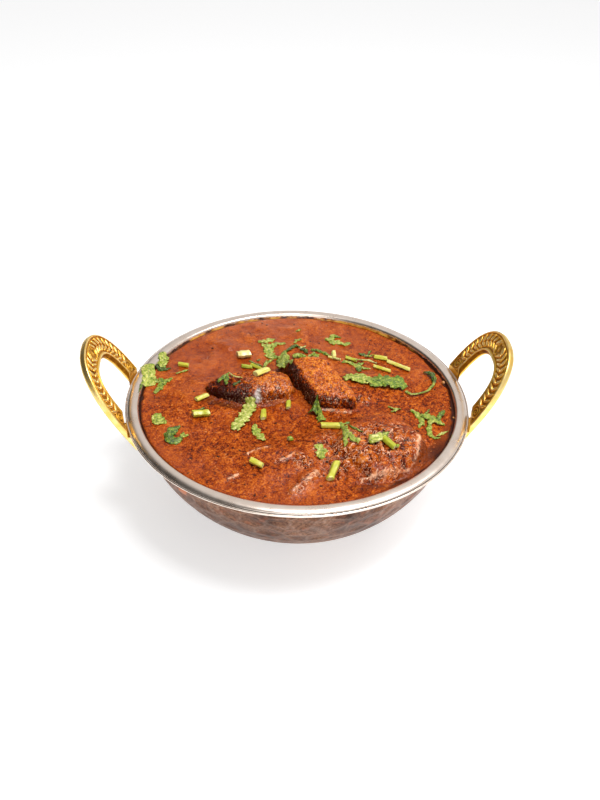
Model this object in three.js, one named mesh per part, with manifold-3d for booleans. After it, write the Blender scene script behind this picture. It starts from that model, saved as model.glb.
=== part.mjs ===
// Mutton curry in a small two-handled serving bowl, garnished with chopped coriander.
// Millimetres, +Z up. The origin is the centre of the foot, +X runs through the two handles.
import * as THREE from 'three';
import { mergeVertices } from 'three/addons/utils/BufferGeometryUtils.js';
import Module from 'manifold-3d';

const wasm = await Module();
wasm.setup();

// ---- driving dimensions -------------------------------------------------------------------

const clearance = 0.3; // between pieces that touch
const restGap = 0.4; // under what lies on the food, whose surface is faceted
const sectors = 52; // round the bowl
const shownSteps = 9; // up the bowl's wall, outside
const hiddenSteps = 6; // and between its layers

const bowl = {
  footRadius: 33.1, // flat foot of the copper shell
  shellRadius: 69.4, // shell at its shoulder
  shoulderHeight: 44.2,
  collarRadius: 70.2, // shell where it ends under the lip
  collarHeight: 46.9,
  roundness: 1.3, // exponent of the wall's curve, 1 would be a circle's quarter
  shellThickness: 0.85,
  linerThickness: 0.8,
};

const lip = {
  innerRadius: 70.1, // inner edge of the rolled steel lip
  top: 50.1,
  outerRadius: 74.1, // where the satin top rolls over
  underside: 47.6,
  beadRadius: 0.42, // thin bead of the folded seam under the lip
  beadCentre: [74.58, 48.6],
};

const gravyLevel = 48;

const handle = {
  baseRadius: 70.3, // where the plate's upper face would meet the bowl
  baseHeight: 47.1,
  lean: 59, // degrees above the horizontal
  thickness: 2.9,
  edge: 0.6, // rounding of the plate's edges
  outline: { halfWidth: 23.4, reach: 36, power: 2.4 },
  hole: { halfWidth: 14.2, reach: 25.6, power: 3 },
  start: 3, // where the horseshoe's legs begin along the plate
  lugDrop: 7, // how far the legs run on down the shell under the lip
  lipClearance: 0.8,
};

const chunkDetail = 3; // facets of a piece of meat

const sheetThickness = 0.55; // a coriander leaf, a little thickened
const drape = 1.3; // how far round a leaf's point the ground is felt
const stemSides = 8;

// ---- materials ----------------------------------------------------------------------------

function finish(color, roughness, metalness) {
  return new THREE.MeshStandardMaterial({ color, roughness, metalness });
}

const satinSteel = finish('#d9d3cd', 0.3, 1);
const agedCopper = finish('#7d5b4c', 0.45, 0.9);
const castBrass = finish('#c8963c', 0.35, 1);
const masalaGravy = finish('#b4551f', 0.35, 0);
const braisedMutton = finish('#98481c', 0.4, 0);
const corianderLeaf = finish('#86b347', 0.5, 0);
const corianderStem = finish('#b4cc55', 0.45, 0);

// ---- solids -------------------------------------------------------------------------------

function solidOf(geometry) {
  const bare = geometry.clone();
  bare.deleteAttribute('normal');
  bare.deleteAttribute('uv');
  const merged = mergeVertices(bare, 1e-3);
  return new wasm.Manifold(new wasm.Mesh({
    numProp: 3,
    vertProperties: new Float32Array(merged.attributes.position.array),
    triVerts: new Uint32Array(merged.index.array),
  }));
}

function geometryOf(solid) {
  const mesh = solid.getMesh();
  const geometry = new THREE.BufferGeometry();
  geometry.setAttribute('position', new THREE.BufferAttribute(mesh.vertProperties, 3));
  geometry.setIndex(new THREE.BufferAttribute(mesh.triVerts, 1));
  return geometry;
}

function turned(profile) { // a profile of [radius, height] pairs, spun about +Z
  const points = profile.map(([radius, height]) => new THREE.Vector2(radius, height));
  return new THREE.LatheGeometry(points, sectors).rotateX(Math.PI / 2);
}

function pieceOf(name, geometry, material) {
  const mesh = new THREE.Mesh(geometry, material);
  mesh.name = name;
  mesh.updateMatrixWorld();
  return mesh;
}

// ---- bowl ---------------------------------------------------------------------------------

// The bowl's wall from the centre of its foot to its top, moved inwards by inset.
function wallCurve(inset, topHeight, steps = hiddenSteps) {
  const outer = [[0, 0]];
  for (let i = 0; i <= steps; i++) {
    const angle = (Math.PI / 2) * (1 - i / steps);
    outer.push([
      bowl.footRadius + (bowl.shellRadius - bowl.footRadius) * Math.cos(angle) ** bowl.roundness,
      bowl.shoulderHeight * (1 - Math.sin(angle) ** bowl.roundness),
    ]);
  }
  outer.push([bowl.collarRadius, bowl.collarHeight]);
  const moved = outer.map(([radius, height], i) => {
    const before = outer[Math.max(i - 1, 0)];
    const after = outer[Math.min(i + 1, outer.length - 1)];
    const run = after[0] - before[0];
    const rise = after[1] - before[1];
    const length = Math.hypot(run, rise);
    return [radius - (inset * rise) / length, height + (inset * run) / length];
  });
  moved[0] = [0, inset];
  moved[moved.length - 1][1] = topHeight;
  return moved;
}

const linerOutset = bowl.shellThickness + clearance;
const linerInset = linerOutset + bowl.linerThickness;
const contentsInset = linerInset + clearance;

function bowlShell() {
  const outside = wallCurve(0, bowl.collarHeight, shownSteps);
  const inside = wallCurve(bowl.shellThickness, bowl.collarHeight);
  return turned([...outside, ...inside.reverse()]);
}

function lipSection() { // from the inner wall over the crown, the groove and the bead
  const [beadR, beadZ] = lip.beadCentre;
  const section = [
    [lip.innerRadius - 1.35, lip.top - 1.2],
    [lip.innerRadius - 0.8, lip.top - 0.5],
    [lip.innerRadius, lip.top - 0.1],
    [lip.innerRadius + 1.7, lip.top],
    [lip.outerRadius - 0.9, lip.top - 0.2],
    [lip.outerRadius - 0.1, lip.top - 0.7],
    [lip.outerRadius, lip.top - 1.05],
  ];
  for (const degrees of [140, 70, 0, -70]) {
    const angle = THREE.MathUtils.degToRad(degrees);
    section.push([beadR + lip.beadRadius * Math.cos(angle), beadZ + lip.beadRadius * Math.sin(angle)]);
  }
  section.push([lip.innerRadius, lip.underside]);
  return section;
}

function bowlLiner() {
  const inside = wallCurve(linerInset, bowl.collarHeight);
  const outside = wallCurve(linerOutset, lip.underside);
  return turned([...outside, ...lipSection().reverse(), ...inside.reverse()]);
}

// ---- handles ------------------------------------------------------------------------------

function archPoints({ halfWidth, reach, power }, count) { // from +halfWidth over to -halfWidth
  const points = [];
  for (let i = 0; i <= count; i++) {
    const angle = (Math.PI * i) / count;
    const across = Math.sign(Math.cos(angle)) * Math.abs(Math.cos(angle)) ** (2 / power);
    const along = Math.sin(angle) ** (2 / power);
    points.push(new THREE.Vector2(halfWidth * across, handle.start + (reach - handle.start) * along));
  }
  return points;
}

function bowlClearance() { // the room that the handles leave to the lip and the shell
  const edge = lip.beadCentre[0] + lip.beadRadius + handle.lipClearance;
  const under = lip.underside - handle.lipClearance;
  const above = lip.top + 2 * handle.lugDrop;
  return turned([...wallCurve(-clearance, under), [edge, under], [edge, above], [0, above]]);
}

function handleGeometry(side) {
  const outer = archPoints(handle.outline, 24);
  const inner = archPoints(handle.hole, 18).reverse();
  const shape = new THREE.Shape([
    new THREE.Vector2(handle.outline.halfWidth, -handle.lugDrop),
    ...outer,
    new THREE.Vector2(-handle.outline.halfWidth, -handle.lugDrop),
    new THREE.Vector2(-handle.hole.halfWidth, -handle.lugDrop),
    ...inner,
    new THREE.Vector2(handle.hole.halfWidth, -handle.lugDrop),
  ]);
  const plate = new THREE.ExtrudeGeometry(shape, {
    depth: handle.thickness - 2 * handle.edge,
    bevelThickness: handle.edge,
    bevelSize: handle.edge,
    bevelOffset: -handle.edge,
    bevelSegments: 2,
  });
  const lean = THREE.MathUtils.degToRad(handle.lean);
  const across = new THREE.Vector3(0, 1, 0);
  const along = new THREE.Vector3(Math.cos(lean), 0, Math.sin(lean));
  const outward = new THREE.Vector3().crossVectors(across, along);
  plate.translate(0, 0, handle.edge);
  plate.applyMatrix4(new THREE.Matrix4().makeBasis(across, along, outward));
  plate.translate(handle.baseRadius, 0, handle.baseHeight);
  if (side < 0) plate.rotateZ(Math.PI);
  return geometryOf(solidOf(plate).subtract(solidOf(bowlClearance())));
}

// ---- mutton -------------------------------------------------------------------------------

// Each chunk is a rounded block: half sizes, then a shear, tilts, a taper to one end and a turn.
const chunks = [
  {
    name: 'mutton_back_left', centre: [-21.7, 5.5, 46.3], half: [18.4, 10, 8.6], power: 5, turn: 2,
    shear: -0.1, tiltX: 0.02, tiltY: -0.06, taper: 0.34, lump: 0.07, seed: 1,
  },
  {
    name: 'mutton_middle', centre: [10.2, 4.6, 46.5], half: [10.2, 14, 12], power: 6, turn: 0,
    shear: -0.42, tiltX: -0.03, tiltY: 0.07, taper: 0, lump: 0.06, seed: 2,
  },
  {
    name: 'mutton_front_right', centre: [31.8, -34.8, 43.8], half: [18.2, 16.8, 11.8], power: 3.1, turn: 35,
    shear: 0, tiltX: 0.05, tiltY: 0.02, taper: 0, lump: 0.04, seed: 3,
  },
];

function chunkGeometry(chunk, grow) {
  const geometry = new THREE.IcosahedronGeometry(1, chunkDetail);
  const [a, b, c] = chunk.half;
  const position = geometry.attributes.position;
  const point = new THREE.Vector3();
  for (let i = 0; i < position.count; i++) {
    point.fromBufferAttribute(position, i).normalize();
    const lumps = Math.sin(4 * point.x + 3 * point.y + chunk.seed)
      * Math.sin(5 * point.z - 4 * point.y + 2 * chunk.seed);
    const sum = Math.abs(point.x / a) ** chunk.power + Math.abs(point.y / b) ** chunk.power
      + Math.abs(point.z / c) ** chunk.power;
    point.multiplyScalar(sum ** (-1 / chunk.power) * (1 + chunk.lump * lumps) + grow);
    const narrowing = 1 - chunk.taper * Math.max(0, -point.x / a);
    point.y = point.y * narrowing + b * (1 - narrowing) * 0.7;
    point.z *= narrowing;
    point.x += chunk.shear * point.y;
    point.z += chunk.tiltX * point.x + chunk.tiltY * point.y;
    position.setXYZ(i, point.x, point.y, point.z);
  }
  geometry.rotateZ(THREE.MathUtils.degToRad(chunk.turn));
  geometry.translate(...chunk.centre);
  geometry.deleteAttribute('normal');
  geometry.deleteAttribute('uv');
  return mergeVertices(geometry, 1e-3);
}

// ---- gravy --------------------------------------------------------------------------------

// Swells in the gravy over what lies in it: centre, half lengths, turn and height.
const swells = [
  { at: [-8, -42], half: [19, 13], turn: 8, height: 2.4 },
  { at: [0.5, -54.5], half: [8.5, 2.8], turn: 55, height: 1.6 },
  { at: [-14, -38.5], half: [13, 3], turn: 3, height: 1.1 },
  { at: [27, -33], half: [27, 22], turn: 24, height: 2.2 },
  { at: [8, -32], half: [9, 9], turn: 0, height: 1.2 },
  { at: [8, 4], half: [22, 20], turn: -50, height: 1.5 },
  { at: [-22, 6], half: [24, 15], turn: 0, height: 1.3 },
  { at: [33, 12], half: [18, 9], turn: -15, height: 1.3 },
  { at: [-30, 44], half: [7, 5], turn: -30, height: 1.2 },
  { at: [-48, 8], half: [10, 22], turn: 15, height: 0.8 },
];

function relief(x, y) {
  let height = gravyLevel;
  for (const swell of swells) {
    const turn = THREE.MathUtils.degToRad(swell.turn);
    const dx = x - swell.at[0];
    const dy = y - swell.at[1];
    const u = (dx * Math.cos(turn) + dy * Math.sin(turn)) / swell.half[0];
    const v = (-dx * Math.sin(turn) + dy * Math.cos(turn)) / swell.half[1];
    height += swell.height * Math.exp(-((u * u + v * v) ** 1.4));
  }
  const ripples = Math.sin(0.31 * x + 0.12 * y) * Math.sin(0.27 * y - 0.08 * x);
  return height + 0.25 * ripples;
}

// Small chopped scraps that are fused to the gravy: centre, length, width and turn.
const scraps = [
  { at: [3.4, 56.8], length: 3, width: 2, turn: 20 },
  { at: [3, 48.6], length: 3.4, width: 2, turn: -10 },
  { at: [-4.8, -28.7], length: 2.6, width: 2.6, turn: 0 },
  { at: [-4.2, -6.5], length: 4, width: 1.8, turn: 85 },
  { at: [34.5, 34.3], length: 6.5, width: 3.4, turn: -22 },
  { at: [-18.3, 29.6], length: 6, width: 1.8, turn: -28 },
  { at: [-51.5, 21.5], length: 5.5, width: 1.4, turn: 25 },
  { at: [44.5, -9], length: 5, width: 2.6, turn: -28 },
];

function gravyGeometry() {
  const rings = 16;
  const wall = wallCurve(contentsInset, gravyLevel);
  const [wallRadius] = wall[wall.length - 1];
  const surface = [];
  for (let i = 0; i < rings; i++) surface.push([(wallRadius * i) / rings, gravyLevel]);
  const profile = [...wall, ...surface.reverse()];
  const geometry = turned(profile);
  const position = geometry.attributes.position;
  for (let i = 0; i < position.count; i++) {
    if (i % profile.length < wall.length - 1) continue;
    position.setZ(i, relief(position.getX(i), position.getY(i)));
  }
  let gravy = solidOf(geometry);
  for (const scrap of scraps) {
    const flake = new THREE.BoxGeometry(scrap.length, scrap.width, 1.6);
    flake.rotateZ(THREE.MathUtils.degToRad(scrap.turn));
    flake.translate(...scrap.at, relief(...scrap.at));
    gravy = gravy.add(solidOf(flake));
  }
  for (const chunk of chunks) gravy = gravy.subtract(solidOf(chunkGeometry(chunk, restGap)));
  return geometryOf(gravy);
}

// ---- coriander ----------------------------------------------------------------------------

// What a garnish can lie on. Each placed leaf or stem joins it, so later ones lie on top.
const ground = [];
const caster = new THREE.Raycaster();
const down = new THREE.Vector3(0, 0, -1);

function heightAt(x, y) {
  caster.set(new THREE.Vector3(x, y, 200), down);
  const hits = caster.intersectObjects(ground, false);
  return hits.length ? hits[0].point.z : gravyLevel;
}

function heightAround(x, y, reach) { // the highest ground within reach of a point
  let height = heightAt(x, y);
  for (let i = 0; i < 6; i++) {
    const angle = (Math.PI * i) / 3;
    height = Math.max(height, heightAt(x + reach * Math.cos(angle), y + reach * Math.sin(angle)));
  }
  return height;
}

// Leaves: points of the midrib, width at the widest, teeth a side, and how far the middle
// stands above the edges (fold), or the edges above the middle where that is negative.
const leaves = [
  { name: 'leaf_over_lip', along: [[-64.2, 9.5], [-66.2, 17.6], [-68, 25.5]], width: 6, teeth: 3, fold: 0.3 },
  { name: 'leaf_left_back', along: [[-60.6, 22.6], [-58.6, 35]], width: 5.8, teeth: 4, fold: 0.8 },
  { name: 'leaf_left_front', along: [[-61.6, 4.6], [-55.2, 16]], width: 4.6, teeth: 4, fold: 0.5 },
  { name: 'leaf_left_fan', along: [[-59.4, -17.1], [-59, -9.1]], width: 6.5, teeth: 3, fold: -0.3 },
  { name: 'leaf_left_curl', along: [[-55.9, -18.5], [-55.2, -26], [-47.3, -25]], width: 4.8, teeth: 4, fold: -0.9 },
  { name: 'leaf_on_back_mutton', along: [[-35.6, 9], [-29.6, 12.4]], width: 6, teeth: 3, fold: 0.4 },
  { name: 'leaf_top_1', along: [[-16, 46.4], [-4.1, 43.5]], width: 5.5, teeth: 4, fold: 0.6 },
  { name: 'leaf_top_2', along: [[-11.8, 42], [-9.4, 31.6]], width: 5.5, teeth: 4, fold: 0.4 },
  { name: 'leaf_top_3', along: [[-3.9, 36.5], [-5.6, 24.5]], width: 6.5, teeth: 3, fold: 0.6 },
  { name: 'leaf_top_4', along: [[-1.5, 37.5], [3, 40.5], [7, 35.4]], width: 3.6, teeth: 5, fold: 1 },
  { name: 'leaf_top_5', along: [[0.5, 33.2], [6.4, 29.8]], width: 4.2, teeth: 3, fold: 0.4 },
  { name: 'leaf_top_6', along: [[9.6, 39.8], [17.6, 35.4]], width: 5, teeth: 3, fold: 0.5 },
  { name: 'leaf_back', along: [[16.1, 49], [27.2, 43.9]], width: 6.5, teeth: 5, fold: 0.5 },
  { name: 'leaf_back_right', along: [[22.8, 27.3], [34.7, 20.9]], width: 6, teeth: 4, fold: 0.5 },
  { name: 'leaf_right_long', along: [[22.1, 12.6], [35.5, 10.6], [48.4, 5.1]], width: 8, teeth: 7, fold: 1.2 },
  {
    name: 'sprig_right', along: [[50.6, 3.6], [59.3, 4.7], [62.6, 11.7], [60.6, 18.4], [56.5, 16.2]],
    width: 2.4, teeth: 5, fold: 0.4,
  },
  { name: 'leaf_edge_1', along: [[49, -10.6], [51.3, -19.6]], width: 3.6, teeth: 3, fold: 0.3 },
  { name: 'leaf_edge_2', along: [[54.4, -12.6], [61.6, -19.6]], width: 6, teeth: 4, fold: 0.5 },
  { name: 'leaf_edge_3', along: [[54.6, -21.4], [56, -27.4], [61, -24.6]], width: 3.4, teeth: 4, fold: 0.4 },
  { name: 'leaf_folded', along: [[8, -9], [8.4, -17.2]], width: 6, teeth: 3, fold: 1.8 },
  { name: 'leaf_forked', along: [[16.9, -23.5], [19.3, -36]], width: 5, teeth: 3, fold: 0.4 },
  { name: 'leaf_long_front', along: [[-20.4, -4], [-23, -13], [-28.2, -21.4]], width: 6.2, teeth: 6, fold: 0.4 },
  { name: 'leaf_front_slim', along: [[-19.4, -18.2], [-15.8, -29.1]], width: 4.2, teeth: 4, fold: 0.4 },
  { name: 'leaf_front_round', along: [[7.6, -34], [8.2, -43]], width: 5, teeth: 3, fold: 0.5 },
  { name: 'leaf_bud', along: [[27.4, -33.7], [33.2, -32.2]], width: 5.4, teeth: 3, fold: 0.9 },
];

// Stems: the two ends in plan and the thickness.
const stems = [
  { name: 'stem_left_back', ends: [[-53.4, 27.1], [-49, 25.8]], thickness: 2.4 },
  { name: 'stem_left', ends: [[-45.4, -1.4], [-41, 1.6]], thickness: 2.4 },
  { name: 'stem_left_fat', ends: [[-45.3, -10.6], [-38.2, -10.2]], thickness: 3.4 },
  { name: 'stem_back_cut', ends: [[-26.3, 34.5], [-20.9, 34.9]], thickness: 4 },
  { name: 'stem_behind_mutton', ends: [[-24.7, 24.3], [-15.6, 20.2]], thickness: 2.2 },
  { name: 'stem_on_mutton', ends: [[-17.8, 9.3], [-12.6, 12.4]], thickness: 3 },
  { name: 'stem_strip_1', ends: [[19.6, 36.3], [18.2, 31.6]], thickness: 1.7 },
  { name: 'stem_strip_2', ends: [[26.2, 31.6], [31, 29.6]], thickness: 2.2 },
  { name: 'stem_back_right', ends: [[37.7, 31], [43.7, 29.2]], thickness: 2.4 },
  { name: 'stem_right_1', ends: [[43.5, 26.6], [53.1, 20.3]], thickness: 2.1 },
  { name: 'stem_right_2', ends: [[36.8, 22.6], [43.6, 18.2]], thickness: 2.1 },
  { name: 'stem_middle', ends: [[8.8, -22.6], [16.2, -23.2]], thickness: 2.8 },
  { name: 'stem_small', ends: [[-14.7, -9.2], [-15.9, -14.9]], thickness: 2.4 },
  { name: 'stem_front', ends: [[-21, -44.8], [-16.2, -48]], thickness: 2.8 },
  { name: 'stem_front_long', ends: [[13.1, -47], [9.9, -55.6]], thickness: 2.8 },
  { name: 'stem_by_bud', ends: [[33.6, -37.2], [36.4, -43.6]], thickness: 2.8 },
];

function leafHalfWidth(leaf, u) { // toothed outline, narrow at the stalk and at the tip
  const envelope = Math.max(0.22, Math.sin(Math.PI * u ** 0.85) ** 0.6);
  const tooth = 1 - 0.34 * ((leaf.teeth * u * 2) % 2 < 1 ? 0 : 1);
  return (leaf.width / 2) * envelope * tooth;
}

function leafGeometry(leaf) {
  const rows = 2 * leaf.teeth;
  const columns = 2;
  const midrib = new THREE.CatmullRomCurve3(leaf.along.map(([x, y]) => new THREE.Vector3(x, y, 0)));
  const lower = [];
  for (let i = 0; i <= rows; i++) {
    const u = i / rows;
    const middle = midrib.getPoint(u);
    const along = midrib.getTangent(u);
    const half = leafHalfWidth(leaf, u);
    for (let j = 0; j <= columns; j++) {
      const v = (2 * j) / columns - 1;
      const x = middle.x - along.y * half * v;
      const y = middle.y + along.x * half * v;
      const stand = leaf.fold > 0 ? leaf.fold * (1 - Math.abs(v)) : -leaf.fold * Math.abs(v);
      lower.push([x, y, heightAround(x, y, drape) + restGap + stand]);
    }
  }
  const count = lower.length;
  const upper = lower.map(([x, y, z]) => [x, y, z + sheetThickness]);
  const index = [];
  const cell = (i, j) => i * (columns + 1) + j;
  for (let i = 0; i < rows; i++) {
    for (let j = 0; j < columns; j++) {
      const [a, b, c, d] = [cell(i, j), cell(i + 1, j), cell(i + 1, j + 1), cell(i, j + 1)];
      index.push(a, c, b, a, d, c);
      index.push(a + count, b + count, c + count, a + count, c + count, d + count); // same split
    }
  }
  const border = [];
  for (let i = 0; i < rows; i++) border.push([cell(i, 0), cell(i + 1, 0)]);
  for (let j = 0; j < columns; j++) border.push([cell(rows, j), cell(rows, j + 1)]);
  for (let i = rows; i > 0; i--) border.push([cell(i, columns), cell(i - 1, columns)]);
  for (let j = columns; j > 0; j--) border.push([cell(0, j), cell(0, j - 1)]);
  for (const [p, q] of border) index.push(p, q, q + count, p, q + count, p + count);
  const geometry = new THREE.BufferGeometry();
  geometry.setAttribute('position', new THREE.Float32BufferAttribute([...lower, ...upper].flat(), 3));
  geometry.setIndex(index);
  return geometry;
}

function stemMesh(stem) {
  const radius = stem.thickness / 2;
  const [start, end] = stem.ends.map(([x, y]) => (
    new THREE.Vector3(x, y, heightAround(x, y, radius) + radius + restGap)));
  const samples = 6;
  let lift = 0;
  for (let i = 1; i < samples; i++) { // raised where the ground humps between its ends
    const spot = start.clone().lerp(end, i / samples);
    lift = Math.max(lift, heightAround(spot.x, spot.y, radius) + radius + restGap - spot.z);
  }
  const axis = end.clone().sub(start);
  const mesh = new THREE.Mesh(
    new THREE.CylinderGeometry(radius, radius * 0.88, axis.length(), stemSides),
    corianderStem,
  );
  mesh.name = stem.name;
  mesh.position.addVectors(start, end).multiplyScalar(0.5);
  mesh.position.z += lift;
  mesh.quaternion.setFromUnitVectors(new THREE.Vector3(0, 1, 0), axis.normalize());
  mesh.updateMatrixWorld();
  return mesh;
}

// ---- the whole dish -----------------------------------------------------------------------

const dish = new THREE.Group();
dish.name = 'mutton_curry';

const liner = pieceOf('bowl_liner', bowlLiner(), satinSteel);
const gravy = pieceOf('curry_gravy', gravyGeometry(), masalaGravy);
dish.add(pieceOf('bowl_shell', bowlShell(), agedCopper), liner, gravy);
dish.add(pieceOf('handle_right', handleGeometry(1), castBrass));
dish.add(pieceOf('handle_left', handleGeometry(-1), castBrass));
ground.push(liner, gravy);

for (const chunk of chunks) {
  const mutton = pieceOf(chunk.name, chunkGeometry(chunk, 0), braisedMutton);
  dish.add(mutton);
  ground.push(mutton);
}

for (const stem of stems) {
  const mesh = stemMesh(stem);
  dish.add(mesh);
  ground.push(mesh);
}

for (const leaf of leaves) {
  const mesh = pieceOf(leaf.name, leafGeometry(leaf), corianderLeaf);
  dish.add(mesh);
  ground.push(mesh);
}

export default dish;
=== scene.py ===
# Mutton curry with chopped coriander in a small hammered serving bowl with two brass handles.
# Sizes are written in millimetres and become metres where a mesh is made; in node trees they are metres.
import math

import bmesh
import bpy
import numpy as np
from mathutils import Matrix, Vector
from mathutils.bvhtree import BVHTree


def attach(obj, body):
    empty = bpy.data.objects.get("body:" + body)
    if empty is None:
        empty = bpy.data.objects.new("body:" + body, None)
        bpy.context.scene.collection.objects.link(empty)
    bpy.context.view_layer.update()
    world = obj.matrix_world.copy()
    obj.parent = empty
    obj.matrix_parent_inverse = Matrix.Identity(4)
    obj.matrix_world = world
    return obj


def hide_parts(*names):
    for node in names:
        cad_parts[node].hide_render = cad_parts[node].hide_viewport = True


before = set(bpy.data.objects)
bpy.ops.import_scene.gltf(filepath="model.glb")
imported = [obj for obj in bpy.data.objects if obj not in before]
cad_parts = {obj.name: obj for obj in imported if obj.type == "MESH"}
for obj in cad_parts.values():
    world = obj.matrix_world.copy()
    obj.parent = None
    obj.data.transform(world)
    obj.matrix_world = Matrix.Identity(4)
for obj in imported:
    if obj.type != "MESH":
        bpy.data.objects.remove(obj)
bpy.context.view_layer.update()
millimetre = 0.001
print("frame loaded:", len(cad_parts), "nodes")


def addObject(name, data):
    thing = bpy.data.objects.new(name, data)
    bpy.context.scene.collection.objects.link(thing)
    return thing


# camera, lights and floor

studio = {
    "cameraPlace": (-22.80, -321.29, 286.18),
    "cameraTurn": (53.489, -1.410, -3.224),  # degrees about X, Y and Z
    "lens": 40.85,
    "sensorWidth": 36,
    "pictureSize": (600, 800),
    "skyStops": [  # from left to right
        (0.0, "#464442"), (0.32, "#625f5c"), (0.42, "#fffcfa"), (1.0, "#f4f1ee")],
    "skyStrength": 0.67,
    "floorColour": "#d8dadc",
    "floorGlow": 0.575,  # a light table: the paper is lit from beneath too
}
lamps = [  # the box over the dish gives the glints, the one on the right leaves the left sides in shade
    {"name": "top_box", "place": (105, -92, 600), "aim": (0, 0, 40), "size": (250, 210), "watts": 2.7},
    {"name": "right_box", "place": (322, -48, 570), "aim": (0, 0, 30), "size": (240, 240), "watts": 1.0},
    {"name": "front_fill", "place": (-120, -760, 300), "aim": (0, 0, 0), "size": (620, 260), "watts": 1.05},
]

camera = addObject("camera", bpy.data.cameras.new("camera"))
camera.location = [value * millimetre for value in studio["cameraPlace"]]
camera.rotation_euler = [math.radians(value) for value in studio["cameraTurn"]]
camera.data.lens = studio["lens"]
camera.data.sensor_width = studio["sensorWidth"]
camera.data.clip_start = 0.01
camera.data.clip_end = 10
bpy.context.scene.camera = camera

for lamp in lamps:
    light = addObject(lamp["name"], bpy.data.lights.new(lamp["name"], "AREA"))
    light.data.shape = "RECTANGLE"
    light.data.size, light.data.size_y = (side * millimetre for side in lamp["size"])
    light.data.energy = lamp["watts"]
    light.location = [value * millimetre for value in lamp["place"]]
    aim = Vector(lamp["aim"]) - Vector(lamp["place"])
    light.rotation_euler = aim.to_track_quat("-Z", "Y").to_euler()


# nodes, colours and noise

def linearColour(hexCode):  # an sRGB hex code as linear RGBA
    values = [int(hexCode[i:i + 2], 16) / 255 for i in (1, 3, 5)]
    linear = [v / 12.92 if v <= 0.04045 else ((v + 0.055) / 1.055) ** 2.4 for v in values]
    return (*linear, 1.0)


def setInputs(tree, node, inputs):  # a number or colour is set, an output is linked
    for socket, value in inputs.items():
        if isinstance(value, bpy.types.NodeSocket):
            tree.links.new(value, node.inputs[socket])
        else:
            node.inputs[socket].default_value = value


def addNode(tree, kind, inputs=None, stops=(), **settings):
    node = tree.nodes.new(kind)
    for name, value in settings.items():
        setattr(node, name, value)
    setInputs(tree, node, inputs or {})
    if stops:  # places and colours of a colour ramp
        elements = node.color_ramp.elements
        while len(elements) < len(stops):
            elements.new(1.0)
        for element, (place, colour) in zip(elements, stops):
            element.position = place
            element.color = linearColour(colour) if isinstance(colour, str) else (colour, colour, colour, 1)
    return node


def maths(tree, operation, *values, **settings):
    return addNode(tree, "ShaderNodeMath", dict(enumerate(values)), operation=operation, **settings).outputs[0]


def product(tree, first, *others):
    for value in others:
        first = maths(tree, "MULTIPLY", first, value)
    return first


def summed(tree, start, *parts):  # each part is a value and its factor
    for value, factor in parts:
        start = maths(tree, "MULTIPLY_ADD", value, factor, start)
    return start


def rescaled(tree, value, low=0.0, high=1.0, toLow=0.0, toHigh=1.0, **settings):  # clamped at both ends
    inputs = {"Value": value, "From Min": low, "From Max": high, "To Min": toLow, "To Max": toHigh}
    return addNode(tree, "ShaderNodeMapRange", inputs, **settings).outputs[0]


def stretched(tree, place, factors):
    return addNode(tree, "ShaderNodeVectorMath", {0: place, 1: factors}, operation="MULTIPLY").outputs[0]


def noise(tree, place, scale, detail=2.0, roughness=0.5, distortion=0.0, seed=None):
    inputs = {"Vector": place, "Scale": scale, "Detail": detail,
              "Roughness": roughness, "Distortion": distortion}
    if seed is None:
        return addNode(tree, "ShaderNodeTexNoise", inputs).outputs["Fac"]
    inputs["W"] = seed
    return addNode(tree, "ShaderNodeTexNoise", inputs, noise_dimensions="4D").outputs["Fac"]


def ramp(tree, value, stops):
    return addNode(tree, "ShaderNodeValToRGB", {"Fac": value}, stops).outputs[0]


def mixed(tree, share, first, second, **settings):  # either colour is an output or a hex code
    a, b = (linearColour(colour) if isinstance(colour, str) else colour for colour in (first, second))
    inputs = {"Factor": share, "A": a, "B": b}
    return addNode(tree, "ShaderNodeMix", inputs, data_type="RGBA", **settings).outputs["Result"]


def attribute(tree, name):
    return addNode(tree, "ShaderNodeAttribute", attribute_name=name).outputs["Fac"]


def axisOf(tree, place, axis):
    return addNode(tree, "ShaderNodeSeparateXYZ", {0: place}).outputs[axis]


def bumped(tree, height, strength, distance, **settings):
    inputs = {"Height": height, "Strength": strength, "Distance": distance}
    return addNode(tree, "ShaderNodeBump", inputs, **settings).outputs[0]


def newMaterial(name, viewColour):
    material = bpy.data.materials.new(name)
    material.diffuse_color = linearColour(viewColour)
    material.use_nodes = True
    tree = material.node_tree
    shader = tree.nodes["Principled BSDF"]
    coordinates = addNode(tree, "ShaderNodeTexCoord").outputs["Object"]
    return material, tree, shader, coordinates


def unevenness(points, size, seed):  # smooth random values from -1 to 1, in lumps of this size
    grid = np.asarray(points, float) / size + 11.7 * seed
    cell = np.floor(grid).astype(np.int64)
    part = grid - cell
    part = part ** 3 * (part * (part * 6 - 15) + 10)
    total = np.zeros(len(grid))
    for corner in np.ndindex(*(2,) * grid.shape[1]):
        key = np.full(len(grid), 374761393 * (seed + 1), np.int64)
        weight = np.ones(len(grid))
        for axis, step in enumerate(corner):
            key = (key ^ ((cell[:, axis] + step) * (73856093, 19349663, 83492791)[axis])) & 0x7FFFFFFF
            weight *= part[:, axis] if step else 1 - part[:, axis]
        key = ((key ^ (key >> 13)) * 1274126177) & 0x7FFFFFFF
        key = ((key ^ (key >> 15)) * 1103515245) & 0x7FFFFFFF
        total += weight * (key / 0x3FFFFFFF - 1)
    return total


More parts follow.
